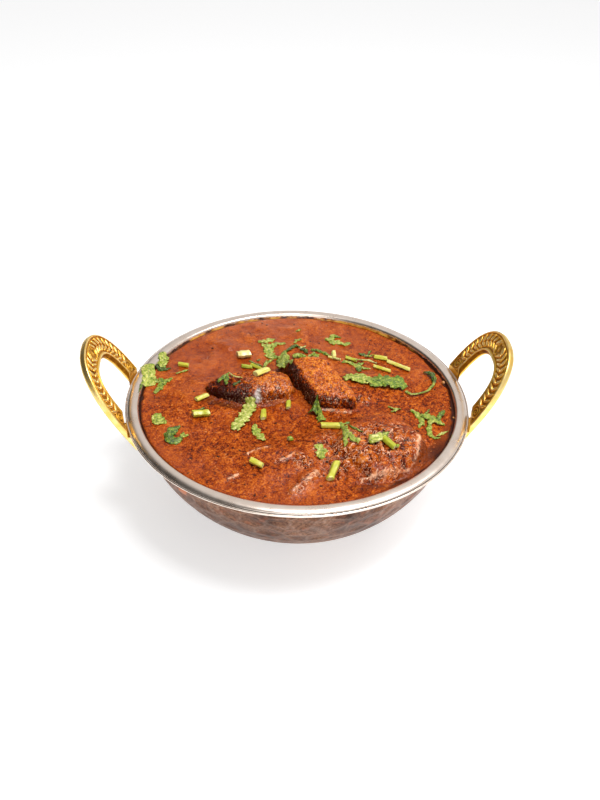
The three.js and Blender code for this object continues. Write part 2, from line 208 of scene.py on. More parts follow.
def smoothPath(points, count):  # a Catmull-Rom curve through the points, evenly spaced
    points = np.asarray(points, float)
    padded = np.vstack([2 * points[0] - points[1], points, 2 * points[-1] - points[-2]])
    fine = []
    for i in range(len(points) - 1):
        a, b, c, d = padded[i:i + 4]
        t = np.linspace(0, 1, 24, endpoint=False)[:, None]
        square, cube = (2 * a - 5 * b + 4 * c - d) * t ** 2, (3 * b - a - 3 * c + d) * t ** 3
        fine.append(0.5 * (2 * b + (c - a) * t + square + cube))
    fine = np.vstack([*fine, points[-1:]])
    length = np.concatenate([[0], np.cumsum(np.linalg.norm(np.diff(fine, axis=0), axis=1))])
    wanted = np.linspace(0, length[-1], count)
    return np.stack([np.interp(wanted, length, fine[:, k]) for k in range(fine.shape[1])], 1)


def rotated(x, y, degrees):
    angle = math.radians(degrees)
    return x * math.cos(angle) - y * math.sin(angle), x * math.sin(angle) + y * math.cos(angle)


def ellipse(plan, centre, halves, turn=0):  # squared distance from the centre, 1 on the edge
    u, v = rotated(plan[:, 0] - centre[0], plan[:, 1] - centre[1], -turn)
    return (u / halves[0]) ** 2 + (v / halves[1]) ** 2


def neighbours(values):  # sum of the four values beside each one in a grid
    padded = np.pad(values, 1, mode="edge")
    return padded[:-2, 1:-1] + padded[2:, 1:-1] + padded[1:-1, :-2] + padded[1:-1, 2:]


# meshes

def turnOutwards(mesh):
    solid = bmesh.new()
    solid.from_mesh(mesh)
    bmesh.ops.recalc_face_normals(solid, faces=solid.faces)
    solid.to_mesh(mesh)
    solid.free()


def addPiece(name, mesh, nodes=()):
    piece = addObject(name, mesh)
    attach(piece, "root")
    if nodes:
        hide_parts(*nodes)


def newPiece(name, points, faces, material, nodes=(), attributes=None, uv=None, sharp=None):
    mesh = bpy.data.meshes.new(name)
    mesh.from_pydata((np.asarray(points) * millimetre).tolist(), [], faces)
    for key, values in (attributes or {}).items():
        mesh.attributes.new(key, "FLOAT", "POINT").data.foreach_set("value", np.asarray(values, np.float32))
    if uv is not None:
        corners = np.zeros(len(mesh.loops), np.int32)
        mesh.loops.foreach_get("vertex_index", corners)
        mesh.uv_layers.new(name="UVMap").data.foreach_set("uv", np.asarray(uv, np.float32)[corners].ravel())
    turnOutwards(mesh)
    mesh.shade_smooth()
    if sharp:
        mesh.set_sharp_from_angle(angle=math.radians(sharp))
    mesh.materials.append(material)
    addPiece(name, mesh, nodes)


def gridFaces(rows, columns, closed=False, offset=0):  # quads over rows x columns points
    faces = []
    for i in range(rows - 1):
        for j in range(columns if closed else columns - 1):
            k = (j + 1) % columns
            low, high = offset + i * columns, offset + (i + 1) * columns
            faces.append((low + j, low + k, high + k, high + j))
    return faces


def gridBorder(rows, columns):  # the outer points of a grid, once round
    index = np.arange(rows * columns).reshape(rows, columns)
    return np.concatenate([index[0, :-1], index[:-1, -1], index[-1, :0:-1], index[:0:-1, 0]])


def spun(profile, sectors):  # a closed profile that starts and ends on the axis, or a ring where it doesn't
    profile = np.asarray(profile, float)
    onAxis = profile[0, 0] < 1e-6
    body = profile[1:-1] if onAxis else profile
    angles = np.linspace(0, 2 * math.pi, sectors, endpoint=False)
    radius, height = body[:, :1], body[:, 1:]
    points = np.stack([radius * np.cos(angles), radius * np.sin(angles), height + 0 * angles], -1)
    points = points.reshape(-1, 3)
    faces = gridFaces(len(body), sectors, closed=True)
    last = (len(body) - 1) * sectors
    if onAxis:
        points = np.vstack([points, [0, 0, profile[0, 1]], [0, 0, profile[-1, 1]]])
        faces += [(len(points) - 2, (j + 1) % sectors, j) for j in range(sectors)]
        faces += [(len(points) - 1, last + j, last + (j + 1) % sectors) for j in range(sectors)]
    else:
        faces += [(last + j, last + (j + 1) % sectors, (j + 1) % sectors, j) for j in range(sectors)]
    return points, faces


def meshFromNodes(holder):  # a plain mesh of what the modifier makes
    mesh = bpy.data.meshes.new_from_object(holder.evaluated_get(bpy.context.evaluated_depsgraph_get()))
    bpy.data.objects.remove(holder)
    return mesh


def newTree(name, *labels):  # a geometry tree whose labelled sizes can be changed
    tree = bpy.data.node_groups.new(name, "GeometryNodeTree")
    tree.interface.new_socket("Geometry", in_out="INPUT", socket_type="NodeSocketGeometry")
    for label in labels:
        tree.interface.new_socket(label, in_out="INPUT", socket_type="NodeSocketFloat")
    tree.interface.new_socket("Geometry", in_out="OUTPUT", socket_type="NodeSocketGeometry")
    return tree, addNode(tree, "NodeGroupInput").outputs


def finishTree(tree, geometry, material):
    whole = addNode(tree, "GeometryNodeRealizeInstances", {"Geometry": geometry}).outputs[0]
    finished = addNode(tree, "GeometryNodeSetMaterial", {"Geometry": whole, "Material": material}).outputs[0]
    addNode(tree, "NodeGroupOutput", {"Geometry": finished})


def scattered(tree, points, model, facing, spin, size=(1, 1, 1)):  # the model on each point, spun in place
    spin = addNode(tree, "ShaderNodeCombineXYZ", {"Z": spin}).outputs[0]
    turned = addNode(tree, "FunctionNodeRotateRotation", {"Rotation": facing, "Rotate By": spin},
                     rotation_space="LOCAL").outputs[0]
    shape = addNode(tree, "GeometryNodeObjectInfo", {"Object": model}).outputs["Geometry"]
    inputs = {"Points": points, "Instance": shape, "Rotation": turned, "Scale": size}
    return addNode(tree, "GeometryNodeInstanceOnPoints", inputs).outputs[0]


def withTree(name, points, faces, tree, values, edges=()):
    mesh = bpy.data.meshes.new(name)
    mesh.from_pydata((np.asarray(points) * millimetre).tolist(), list(edges), faces)
    if faces:
        turnOutwards(mesh)
    holder = addObject(name, mesh)
    modifier = holder.modifiers.new(name, "NODES")
    modifier.node_group = tree
    for item in tree.interface.items_tree:
        if item.in_out == "INPUT" and item.name in values:
            modifier[item.identifier] = values[item.name]
    return holder


# floor and world

world = bpy.data.worlds.new("studio")
world.use_nodes = True
sky = world.node_tree
direction = addNode(sky, "ShaderNodeTexCoord").outputs["Generated"]
sideways = rescaled(sky, axisOf(sky, direction, "X"), -1.0)
skyColour = ramp(sky, sideways, studio["skyStops"])
setInputs(sky, sky.nodes["Background"], {"Color": skyColour, "Strength": studio["skyStrength"]})
bpy.context.scene.world = world
bpy.context.scene.view_settings.view_transform = "Standard"

# matt white paper: next to no gloss
floorPaper, tree, shader, _ = newMaterial("matt_paper", studio["floorColour"])
setInputs(tree, shader, {
    "Base Color": linearColour(studio["floorColour"]), "Roughness": 0.9, "Specular IOR Level": 0.1,
    "Emission Color": (1, 1, 1, 1), "Emission Strength": studio["floorGlow"]})
floorMesh = bpy.data.meshes.new("floor")
floorMesh.from_pydata([(-4, -4, 0), (4, -4, 0), (4, 4, 0), (-4, 4, 0)], [], [(0, 1, 2, 3)])  # metres
floorMesh.materials.append(floorPaper)
floor = addObject("floor", floorMesh)
floor.location.z = -0.1 * millimetre  # just under the foot
print("camera, lights and floor")


# bowl

bowl = {
    "footRadius": 33.1,
    "shellRadius": 69.4,
    "shoulderHeight": 44.2,
    "collarRadius": 70.2,
    "collarHeight": 46.9,
    "roundness": 1.3,
    "shellThickness": 0.85,
    "clearance": 0.3,
    "linerThickness": 0.8,
    "sectors": 420,
    "hammerSpot": 8.2,
    "hammerDepth": 0.5,
}
lip = {
    "innerRadius": 70.1,
    "top": 50.1,
    "outerRadius": 74.1,
    "underside": 47.6,
    "beadRadius": 0.42,
    "beadCentre": (74.58, 48.6),
}


def wallCurve(inset, topHeight, steps):  # the wall from the axis up, moved inwards by inset
    angle = np.linspace(math.pi / 2, 0, steps + 1)
    flare = bowl["shellRadius"] - bowl["footRadius"]
    radius = bowl["footRadius"] + flare * np.cos(angle) ** bowl["roundness"]
    height = bowl["shoulderHeight"] * (1 - np.sin(angle) ** bowl["roundness"])
    outer = np.vstack([[0, 0], np.stack([radius, height], 1), [bowl["collarRadius"], bowl["collarHeight"]]])
    step = np.vstack([outer[1] - outer[0], outer[2:] - outer[:-2], outer[-1] - outer[-2]])
    length = np.linalg.norm(step, axis=1)
    moved = outer + inset * np.stack([-step[:, 1], step[:, 0]], 1) / length[:, None]
    moved[0] = (0, inset)
    moved[-1, 1] = topHeight
    return moved


# spun stainless steel, satin brushed: a soft grey-beige sheen with fine turning lines
satinSteel, tree, shader, coordinates = newMaterial("satin_brushed_stainless_steel", "#d6ccc4")
radial = stretched(tree, coordinates, (1, 1, 0))
radius = addNode(tree, "ShaderNodeVectorMath", {0: radial}, operation="LENGTH").outputs["Value"]
height = axisOf(tree, coordinates, "Z")
turning = addNode(tree, "ShaderNodeCombineXYZ", {"X": radius, "Y": height}).outputs[0]
lines = noise(tree, turning, 5200, 2)  # 0.2 mm lines
smudges = noise(tree, coordinates, 160, 4)
gloss = rescaled(tree, smudges, toLow=0.22, toHigh=0.36)
tint = ramp(tree, smudges, [(0.3, "#f2e0d1"), (0.7, "#fcefe4")])
splashes = noise(tree, coordinates, 420, 3)
splashTop = maths(tree, "MULTIPLY_ADD", splashes, 0.0015, 0.0481)
below = rescaled(tree, maths(tree, "SUBTRACT", splashTop, height), -0.0001, 0.0002)
stainAndShade = product(tree, below, rescaled(tree, radius, 0.0700, 0.0696))
stainAndShadeTint = ramp(tree, smudges, [(0.42, "#43200f"), (0.5, "#a8661c"), (0.6, "#cf9a3c")])
sideways = maths(tree, "ABSOLUTE", axisOf(tree, coordinates, "X"))
stainAndShadeTint = mixed(tree, rescaled(tree, sideways, 0.050, 0.060), stainAndShadeTint, "#2c140a")  # darker on the left and right sides: dark oil, with painted shade on the steep wall
tint = mixed(tree, stainAndShade, tint, stainAndShadeTint)
grooveSpan = ((0.0737, 0.0739), (0.07425, 0.0741))  # painted shade: the groove between the lip and its bead is darkened and not metallic
groove = [rescaled(tree, radius, low, high) for low, high in grooveSpan]
grooveShade = product(tree, *groove, rescaled(tree, height, 0.0492, 0.0490))
tint = mixed(tree, grooveShade, tint, "#33261f")
stainAndShade = maths(tree, "MAXIMUM", stainAndShade, grooveShade)
setInputs(tree, shader, {
    "Base Color": tint, "Roughness": gloss, "Metallic": maths(tree, "SUBTRACT", 1.0, stainAndShade),
    "Normal": bumped(tree, lines, 0.25, 0.00002)})

# hammered copper with a brown patina: dull between the marks, rubbed bright on their edges, and lighter there
# as a painted highlight
agedCopper, tree, shader, coordinates = newMaterial("hammered_aged_copper", "#7a5a4c")
patina = noise(tree, coordinates, 55, 6, roughness=0.6)
tint = ramp(tree, patina, [(0.3, "#4a2f22"), (0.46, "#825840"), (0.6, "#a1765a"), (0.75, "#ba9276")])
speckle = noise(tree, coordinates, 950, 3, roughness=0.7)
speckle = ramp(tree, speckle, [(0.38, "#a89a90"), (0.62, "#ffffff")])
tint = mixed(tree, 1.0, tint, speckle, blend_type="MULTIPLY")
rust = ramp(tree, noise(tree, coordinates, 260, 4, seed=1.3), [(0.55, 0.0), (0.64, 0.5)])
tint = mixed(tree, rust, tint, "#96573a")
bare = ramp(tree, noise(tree, coordinates, 38, 3, seed=4.2), [(0.625, 0.0), (0.65, 0.9)])
tint = mixed(tree, bare, tint, "#c9764a")
# pale edges of the marks: wear with a painted highlight
rubbed = product(tree, attribute(tree, "rubbed"), maths(tree, "MULTIPLY", patina, 0.55))
tint = mixed(tree, rubbed, tint, "#c9b1a1")
setInputs(tree, shader, {
    "Base Color": tint, "Roughness": rescaled(tree, patina, toLow=0.34, toHigh=0.55), "Metallic": 0.75,
    "Normal": bumped(tree, noise(tree, coordinates, 900, 3), 0.3, 0.00006)})

# hammer marks: each point sinks by its distance from the edges between the marks
tree, given = newTree("hammer_marks", "Spot Size", "Depth")
place = addNode(tree, "GeometryNodeInputPosition").outputs[0]
density = maths(tree, "DIVIDE", 1.0, given["Spot Size"])
marks = addNode(tree, "ShaderNodeTexVoronoi", {"Vector": place, "Scale": density, "Randomness": 0.75},
                feature="DISTANCE_TO_EDGE").outputs["Distance"]
dish = rescaled(tree, marks, high=0.42, interpolation_type="SMOOTHERSTEP")
height = axisOf(tree, place, "Z")
shown = product(tree, rescaled(tree, height, 0.0005, 0.003), rescaled(tree, height, 0.0466, 0.0452))
sink = product(tree, dish, given["Depth"], shown, -1.0)
normal = addNode(tree, "GeometryNodeInputNormal").outputs[0]
offset = addNode(tree, "ShaderNodeVectorMath", {0: normal, "Scale": sink}, operation="SCALE").outputs[0]
# the pale edges between the marks: partly wear, partly a painted highlight
edge = product(tree, rescaled(tree, marks, high=0.05, toLow=1.0, toHigh=0.0), shown)
kept = addNode(tree, "GeometryNodeStoreNamedAttribute", {
    "Geometry": given["Geometry"], "Name": "rubbed", "Value": edge},
    data_type="FLOAT", domain="POINT").outputs[0]
moved = addNode(tree, "GeometryNodeSetPosition", {"Geometry": kept, "Offset": offset}).outputs[0]
smooth = addNode(tree, "GeometryNodeSetShadeSmooth", {"Geometry": moved}).outputs[0]
finishTree(tree, smooth, agedCopper)

outside = wallCurve(0, bowl["collarHeight"], 110)
inside = wallCurve(bowl["shellThickness"], bowl["collarHeight"], 12)
outside = np.vstack([[0, 0], [16, 0], [30, 0], outside[1:]])  # rings on the flat foot
points, faces = spun(np.vstack([outside, inside[::-1]]), bowl["sectors"])
holder = withTree("dressed_bowl_shell", points, faces, tree, {
    "Spot Size": bowl["hammerSpot"] * millimetre, "Depth": bowl["hammerDepth"] * millimetre})
addPiece("dressed_bowl_shell", meshFromNodes(holder), ["bowl_shell"])

lipR, lipZ = lip["innerRadius"], lip["top"]
innerCrown = np.array([
    (-1.3, -2.2), (-0.95, -1.5), (-0.7, -0.8), (-0.2, -0.25), (1, 0), (2.2, -0.06), (3.1, -0.3)])
outerCrown = np.array([(-0.3, -0.68), (0, -1.08), (-0.22, -1.38)])
crown = smoothPath(np.vstack([innerCrown + (lipR, lipZ), outerCrown + (lip["outerRadius"], lipZ)]), 40)
beadAngles = np.radians(np.linspace(150, -80, 14))
bead = np.stack([lip["beadCentre"][0] + lip["beadRadius"] * np.cos(beadAngles),
                 lip["beadCentre"][1] + lip["beadRadius"] * np.sin(beadAngles)], 1)
linerOutset = bowl["shellThickness"] + bowl["clearance"]
linerInset = linerOutset + bowl["linerThickness"]
linerProfile = np.vstack([
    wallCurve(linerOutset, lip["underside"], 24), [[lipR, lip["underside"]]], bead[::-1], crown[::-1],
    wallCurve(linerInset, bowl["collarHeight"], 36)[::-1]])
points, faces = spun(linerProfile, 360)
newPiece("dressed_bowl_liner", points, faces, satinSteel, ["bowl_liner"], sharp=50)
linerPoints, linerFaces = points, faces
print("bowl")


# handles

handle = {
    "baseRadius": 70.3,
    "baseHeight": 47.1,
    "lean": 59,
    "thickness": 2.9,
    "outline": (23.4, 36, 2.4),  # half width, reach, power
    "hole": (14.2, 25.6, 3),
    "start": 3,
    "lugDrop": 7,
    "gap": 0.8,
    "recess": 0.42,
    "barbSpacing": 2.6,
    "barbLength": 4.2,
    "barbWidth": 1.7,
    "barbHeight": 0.62,
    "barbAngle": 52,
    "legShare": 0.12,  # of the curve's shares, for each leg
    "rows": 460,
    "plateWidth": 9.4,
    "rosetteReach": 4.4,
    "scrollPlace": 33.5,  # along the plate from its top
    "scrollReach": 3.5,
    "fernEnd": 3.0,  # the fern ends this far before the scroll
    "faceColumns": 47,
    "rounding": 0.075,  # of the back's outer edge, as a share of the width
}

# cast brass, unlacquered: golden, rubbed bright where it stands out and brown in the recesses, with painted
# shade on the inner wall of the hole
castBrass, tree, shader, coordinates = newMaterial("cast_unlacquered_brass", "#c8963c")
tarnish = maths(tree, "ADD", noise(tree, coordinates, 260, 4), -0.5)
worn = maths(tree, "MULTIPLY_ADD", tarnish, 0.7, attribute(tree, "wearAndShade"))
tint = ramp(tree, worn, [(0.0, "#85540f"), (0.35, "#e0a02f"), (0.7, "#fbc650"), (1.0, "#ffe398")])
setInputs(tree, shader, {
    "Base Color": tint, "Roughness": rescaled(tree, worn, toLow=0.55, toHigh=0.36), "Metallic": 1,
    "Normal": bumped(tree, noise(tree, coordinates, 1300, 3), 0.35, 0.0001)})


def archCurve(halfWidth, reach, power, share):  # share 0 to 1 from one foot over the arch to the other
    leg, drop = handle["legShare"], handle["start"] + handle["lugDrop"]
    angle = math.pi * np.clip((share - leg) / (1 - 2 * leg), 0, 1)
    across = np.sign(np.cos(angle)) * np.abs(np.cos(angle)) ** (2 / power) * halfWidth
    along = handle["start"] + (reach - handle["start"]) * np.sin(angle) ** (2 / power)
    along -= drop * np.clip((leg - share) / leg, 0, 1) + drop * np.clip((share - (1 - leg)) / leg, 0, 1)
    return np.stack([across, along], 1)


def evenShares(count):  # shares evenly spaced along the middle of the plate, and their way from its top
    fine = np.linspace(0, 1, 6000)
    middle = (archCurve(*handle["outline"], fine) + archCurve(*handle["hole"], fine)) / 2
    length = np.concatenate([[0], np.cumsum(np.linalg.norm(np.diff(middle, axis=0), axis=1))])
    arc = np.linspace(0, length[-1], count)
    return np.interp(arc, length, fine), arc - length[-1] / 2


def castRelief(across, arc):  # height of the cast ornament, from 0 in the recess to 1
    side = np.abs(across * 2 - 1)
    width, tip = handle["plateWidth"], handle["scrollPlace"]
    fromEdge = (1 - side) * width / 2
    border = np.where(across < 0.5, 0.85, 0.55)  # wider round the hole
    rim = np.clip((border + 0.5 - fromEdge) / 0.4, 0, 1)
    line = 0.7 * np.clip(1 - np.abs(fromEdge - border - 1.25) / 0.3, 0, 1)
    u, v = arc, (across * 2 - 1) * width / 2
    reach = np.hypot(u, v)
    petals = np.clip(1.1 - np.abs(reach - 2.2 - 0.9 * np.abs(np.cos(3 * np.arctan2(v, u)))) / 0.45, 0, 1)
    heart = np.clip(1 - reach / 1.2, 0, 1)
    rosette = np.where(reach < handle["rosetteReach"], np.maximum(petals, heart), 0)
    out = np.abs(u) - tip
    curlR = np.hypot(out, v)
    winding = np.mod(curlR / 1.45 - np.arctan2(v, out) / (2 * math.pi), 1)
    curl = np.where(curlR < handle["scrollReach"], np.clip(1 - np.abs(winding - 0.5) / 0.3, 0, 1), 0)
    foot = np.clip((np.abs(u) - tip - 3.6) / 0.8, 0, 1)
    ornament = np.maximum.reduce([np.clip(rim, 0, 1), np.clip(line, 0, 1), rosette, curl])
    return np.maximum(ornament * (1 - foot), 0.75 * foot)


def platePlace(flat, side):  # points in the plate's own plane and above its face, stood up beside the bowl
    lean = math.radians(handle["lean"])
    along = np.array([math.cos(lean), 0, math.sin(lean)])
    outward = np.array([math.sin(lean), 0, -math.cos(lean)])
    points = flat[:, :1] * np.array([0, 1.0, 0]) + flat[:, 1:2] * along - flat[:, 2:] * outward
    points += [handle["baseRadius"], 0, handle["baseHeight"]]
    edge = lip["beadCentre"][0] + lip["beadRadius"] + handle["gap"]
    wall = wallCurve(-bowl["clearance"], lip["underside"], 60)
    beside = points[:, 2] > lip["underside"] - handle["gap"]
    nearest = np.where(beside, edge, np.interp(points[:, 2], wall[1:, 1], wall[1:, 0]))
    nearest = np.sqrt(np.maximum(nearest ** 2 - points[:, 1] ** 2, 0))
    points[:, 0] = np.maximum(points[:, 0], nearest)  # cut back where the bowl is
    return points * [side, side, 1]


# barbs of the fern: one on each point of the midline, turned to its side
barbMesh = bpy.data.meshes.new("fern_barb")
shape = bmesh.new()
bmesh.ops.create_icosphere(shape, subdivisions=2, radius=1)
for vertex in shape.verts:  # a drop: blunt at its root and pointed at its tip
    along = (vertex.co.x + 1) / 2
    full = 1
    if abs(vertex.co.x) < 0.999:
        full = (1 - vertex.co.x ** 4) ** 0.5 / max(1e-6, (1 - vertex.co.x ** 2) ** 0.5)
    vertex.co.y *= full * (1 - 0.5 * along ** 2) * handle["barbWidth"] / 2 * millimetre
    vertex.co.z *= full * (1 - 0.3 * along) * handle["barbHeight"] * millimetre
    vertex.co.x = along * handle["barbLength"] * millimetre
shape.to_mesh(barbMesh)
shape.free()
barbMesh.shade_smooth()
barbModel = bpy.data.objects.new("fern_barb", barbMesh)

fernTree, given = newTree("fern_barbs", "Spacing", "Angle")
curve = addNode(fernTree, "GeometryNodeMeshToCurve", {"Mesh": given["Geometry"]}).outputs[0]
spots = addNode(fernTree, "GeometryNodeCurveToPoints", {"Curve": curve, "Length": given["Spacing"]},
                mode="LENGTH").outputs
facing = addNode(fernTree, "FunctionNodeAlignRotationToVector", {"Vector": spots["Tangent"]},
                 axis="X", pivot_axis="Z").outputs[0]
barbs = scattered(fernTree, spots["Points"], barbModel, facing, given["Angle"])
finishTree(fernTree, barbs, castBrass)


def fernBarbs():  # the barbs on both legs, as points in millimetres and faces
    found = []
    shares, arc = evenShares(1200)
    for leg in (-1, 1):
        far = np.abs(arc)
        between = (far > handle["rosetteReach"]) & (far < handle["scrollPlace"] - handle["fernEnd"])
        keep = (np.sign(arc) == leg) & between
        middle = (archCurve(*handle["outline"], shares[keep]) + archCurve(*handle["hole"], shares[keep])) / 2
        middle = middle if leg < 0 else middle[::-1]
        middle = np.column_stack([middle, np.full(len(middle), -handle["recess"] * 0.8)])[::6]
        edges = [(i, i + 1) for i in range(len(middle) - 1)]
        for turnTo in (-1, 1):
            holder = withTree("fern", middle, [], fernTree, {
                "Spacing": handle["barbSpacing"] * millimetre,
                "Angle": math.radians(turnTo * handle["barbAngle"])}, edges)
            mesh = meshFromNodes(holder)
            flat = np.zeros(len(mesh.vertices) * 3, np.float32)
            mesh.vertices.foreach_get("co", flat)
            faces = [tuple(polygon.vertices) for polygon in mesh.polygons]
            found.append((flat.reshape(-1, 3) / millimetre, faces))
            bpy.data.meshes.remove(mesh)
    return found


def buildHandle(name, side):
    rows = handle["rows"]
    shares, arc = evenShares(rows)
    outer, inner = archCurve(*handle["outline"], shares), archCurve(*handle["hole"], shares)
    thick, rounding = handle["thickness"], handle["rounding"]
    # place across, depth and whether it is engraved: the face, the rounded outer edge, the back, the inner edge
    section = [(s, 0.0, True) for s in np.linspace(0, 1, handle["faceColumns"])]
    section[0] = (0.0, -0.35, False)
    section[1] = (0.02, -0.08, False)
    section[-2] = (0.98, -0.08, False)
    section[-1] = (1.0, -0.35, False)
    section += [(1.0, -d, False) for d in (0.9, 1.5, 2.1)]
    section += [(1 - rounding * 0.4, -thick + 0.12, False), (1 - rounding * 1.4, -thick, False)]
    section += [(s, -thick, False) for s in (0.75, 0.5, 0.25)]
    section += [(0.0, -thick, False), (-0.07, -thick + 0.12, False)]  # the hole narrows towards the back
    section += [(-0.05 * d, -d, False) for d in (2.1, 1.5, 0.9)]
    flats, wearAndShade = [], []
    for s, depth, engraved in section:
        flat = inner + (outer - inner) * s
        height = np.full(rows, depth)
        stand = np.full(rows, 0.05 if -1.9 < depth < -0.3 and s < 0.5 else 0.9)  # painted shade: the inner wall of the handle's hole is darkened
        if engraved:
            ornament = castRelief(np.full(rows, s), arc)
            height = handle["recess"] * (ornament - 1)
            stand = 0.15 + 0.75 * ornament
        flats.append(np.column_stack([flat, height]))
        wearAndShade.append(stand)
    columns = len(section)
    flat = np.stack(flats, 1).reshape(-1, 3)
    stand = np.stack(wearAndShade, 1).reshape(-1)
    faces = gridFaces(rows, columns, closed=True)
    faces.append(tuple(range(columns)))
    faces.append(tuple(reversed(range((rows - 1) * columns, rows * columns))))
    points = platePlace(flat, side)
    for barbPoints, barbFaces in fernBarbs():
        base = len(points)
        points = np.vstack([points, platePlace(barbPoints, side)])
        rise = np.clip((barbPoints[:, 2] + handle["recess"]) / handle["recess"], 0, 1)
        stand = np.concatenate([stand, 0.15 + 0.75 * rise])
        faces += [tuple(base + v for v in face) for face in barbFaces]
    newPiece("dressed_" + name, points, faces, castBrass, [name], {"wearAndShade": stand}, sharp=60)


buildHandle("handle_right", 1)
buildHandle("handle_left", -1)
print("handles")


# mutton

chunks = [  # rounded blocks: half sizes, shear, tilts, taper and turn; the gravy covers the last one
    {"name": "mutton_back_left", "centre": (-21.5, 5.5, 46.9), "half": (18.9, 10, 8.6), "power": 5, "turn": 2,
     "shear": 0.04, "tiltX": 0.02, "tiltY": -0.15, "taper": 0.34, "lump": 0.07, "seed": 1,
     "fibre": (1, 0.4, 0.22), "ragged": 0.85, "coated": False, "tone": 0.5,
     "shadedSides": [((-1, -0.3, 0), 0.3), ((0, -1, -0.4), 0.06)],
     "stainsAndShadows": [((-33, -1, 47.5), 8, 0.6), ((-32, 5, 53), 8, 0.28), ((-24.5, -3, 54), 4, 0.45)],
     "glintSpot": ((-17.6, -4.6, 53), 1.6), "oilyAndGlinting": [((-12, -4, 50), 12, 1), ((-28, -4, 50), 5, 0.4)]},
    {"name": "mutton_middle", "centre": (10.2, 4.6, 46.5), "half": (10.2, 14, 12), "power": 6, "turn": 0,
     "shear": -0.42, "tiltX": -0.03, "tiltY": 0.07, "taper": 0, "lump": 0.06, "seed": 2,
     "fibre": (1, 0.8, 0.25), "ragged": 0.7, "coated": False, "tone": 0.62,
     "shadedSides": [((-1, 0.1, 0), 0.6), ((0, -1, -0.5), 0.46)], "stainsAndShadows": [((3, -8, 50), 5, 0.45)],
     "glintSpot": None, "oilyAndGlinting": [((15, -8, 58), 9, 0.6), ((8, 5, 58), 12, 0.3), ((2, -4, 53), 6, 0.5)]},
    {"name": "mutton_front_right", "centre": (31.8, -34.8, 43.8), "half": (18.2, 16.8, 11.8), "power": 3.1,
     "turn": 35, "shear": 0, "tiltX": 0.05, "tiltY": 0.02, "taper": 0, "lump": 0.04, "seed": 3,
     "fibre": (0.8, 0.8, 1), "ragged": 0.75, "coated": True, "tone": 0.5,
     "shadedSides": [], "stainsAndShadows": [], "glintSpot": None, "oilyAndGlinting": []},
]
chunkDetail = 74  # squares along each side of the block


def blockGrid(squares):  # a cube of squares, as directions from its middle
    line = np.tan(np.linspace(-math.pi / 4, math.pi / 4, squares + 1))
    a, b = (values.ravel() for values in np.meshgrid(line, line, indexing="ij"))
    one = np.ones_like(a)
    sides = [(one, a, b), (-one, b, a), (b, one, a), (a, -one, b), (a, b, one), (b, a, -one)]
    count = squares + 1
    points = np.vstack([np.stack(side, 1) for side in sides])
    faces = np.vstack([np.array(gridFaces(count, count, offset=k * count * count)) for k in range(6)])
    _, first, place = np.unique(np.round(points, 6), axis=0, return_index=True, return_inverse=True)
    points = points[first]
    return points / np.linalg.norm(points, axis=1)[:, None], place.reshape(-1)[faces].tolist()


def chunkSurface(d, chunk):  # the chunk's smooth form along directions d
    half, power = np.array(chunk["half"], float), chunk["power"]
    seed = chunk["seed"]
    lumps = np.sin(4 * d[:, 0] + 3 * d[:, 1] + seed) * np.sin(5 * d[:, 2] - 4 * d[:, 1] + 2 * seed)
    size = (np.abs(d / half) ** power).sum(1) ** (-1 / power) * (1 + chunk["lump"] * lumps)
    p = d * size[:, None]
    narrowing = 1 - chunk["taper"] * np.maximum(0, -p[:, 0] / half[0])
    y = p[:, 1] * narrowing + half[1] * (1 - narrowing) * 0.7
    z = p[:, 2] * narrowing
    x = p[:, 0] + chunk["shear"] * y
    z = z + chunk["tiltX"] * x + chunk["tiltY"] * y
    return np.stack([*rotated(x, y, chunk["turn"]), z], 1) + chunk["centre"]


def normalsOf(points, faces):
    quads = np.array(faces)
    across = points[quads[:, 2]] - points[quads[:, 0]]
    other = points[quads[:, 3]] - points[quads[:, 1]]
    facing = np.cross(across, other)
    total = np.zeros_like(points)
    for k in range(4):
        np.add.at(total, quads[:, k], facing)
    return total / np.maximum(np.linalg.norm(total, axis=1), 1e-9)[:, None]


# braised mutton under a coat of masala: rust brown grains, oily where the fibres stand up; painted shade in the
# creases and on the sides away from the light, painted glints on the oily fibres and one painted highlight spot
braisedMutton, tree, shader, coordinates = newMaterial("braised_mutton_in_masala", "#98481c")
grain = noise(tree, coordinates, 1500, 4, roughness=0.65)  # 0.7 mm grains
patches = noise(tree, coordinates, 150, 4)
strands = noise(tree, stretched(tree, coordinates, (1, 1, 0.3)), 800, 1.5, distortion=0.5)  # 1.2 mm fibres
strands = maths(tree, "ABSOLUTE", maths(tree, "SUBTRACT", strands, 0.5))
tone = summed(tree, attribute(tree, "toneAndShade"), (grain, 1.5), (patches, 0.4), (strands, 2.0))
tint = ramp(tree, maths(tree, "SUBTRACT", tone, 1.08), [
    (0.06, "#300701"), (0.3, "#5c1802"), (0.54, "#9d3f05"), (0.74, "#c05a08"), (0.95, "#da822a")])
oilyAndGlinting = attribute(tree, "oilyAndGlinting")
# painted glints: pale peach on the fibre crests where the meat is oily
paintedGlints = product(tree, rescaled(tree, strands, 0.032, 0.01), rescaled(tree, grain, 0.42, 0.52), oilyAndGlinting)
tint = mixed(tree, paintedGlints, tint, "#f8c8a4")
# painted highlight: a pale grey spot on the front face
tint = mixed(tree, attribute(tree, "glintSpot"), tint, "#dcd3cf")
relief = bumped(tree, maths(tree, "MULTIPLY_ADD", strands, 9.0, grain), 1.0, 0.00013)
setInputs(tree, shader, {
    "Base Color": tint, "Roughness": rescaled(tree, patches, 0.35, 0.65, 0.2, 0.36),
    "Specular IOR Level": 0.08, "Normal": relief, "Coat Normal": relief, "Coat Roughness": 0.08,
    "Coat IOR": 1.6, "Coat Weight": maths(tree, "MULTIPLY_ADD", oilyAndGlinting, 0.35, 0.1, use_clamp=True)})

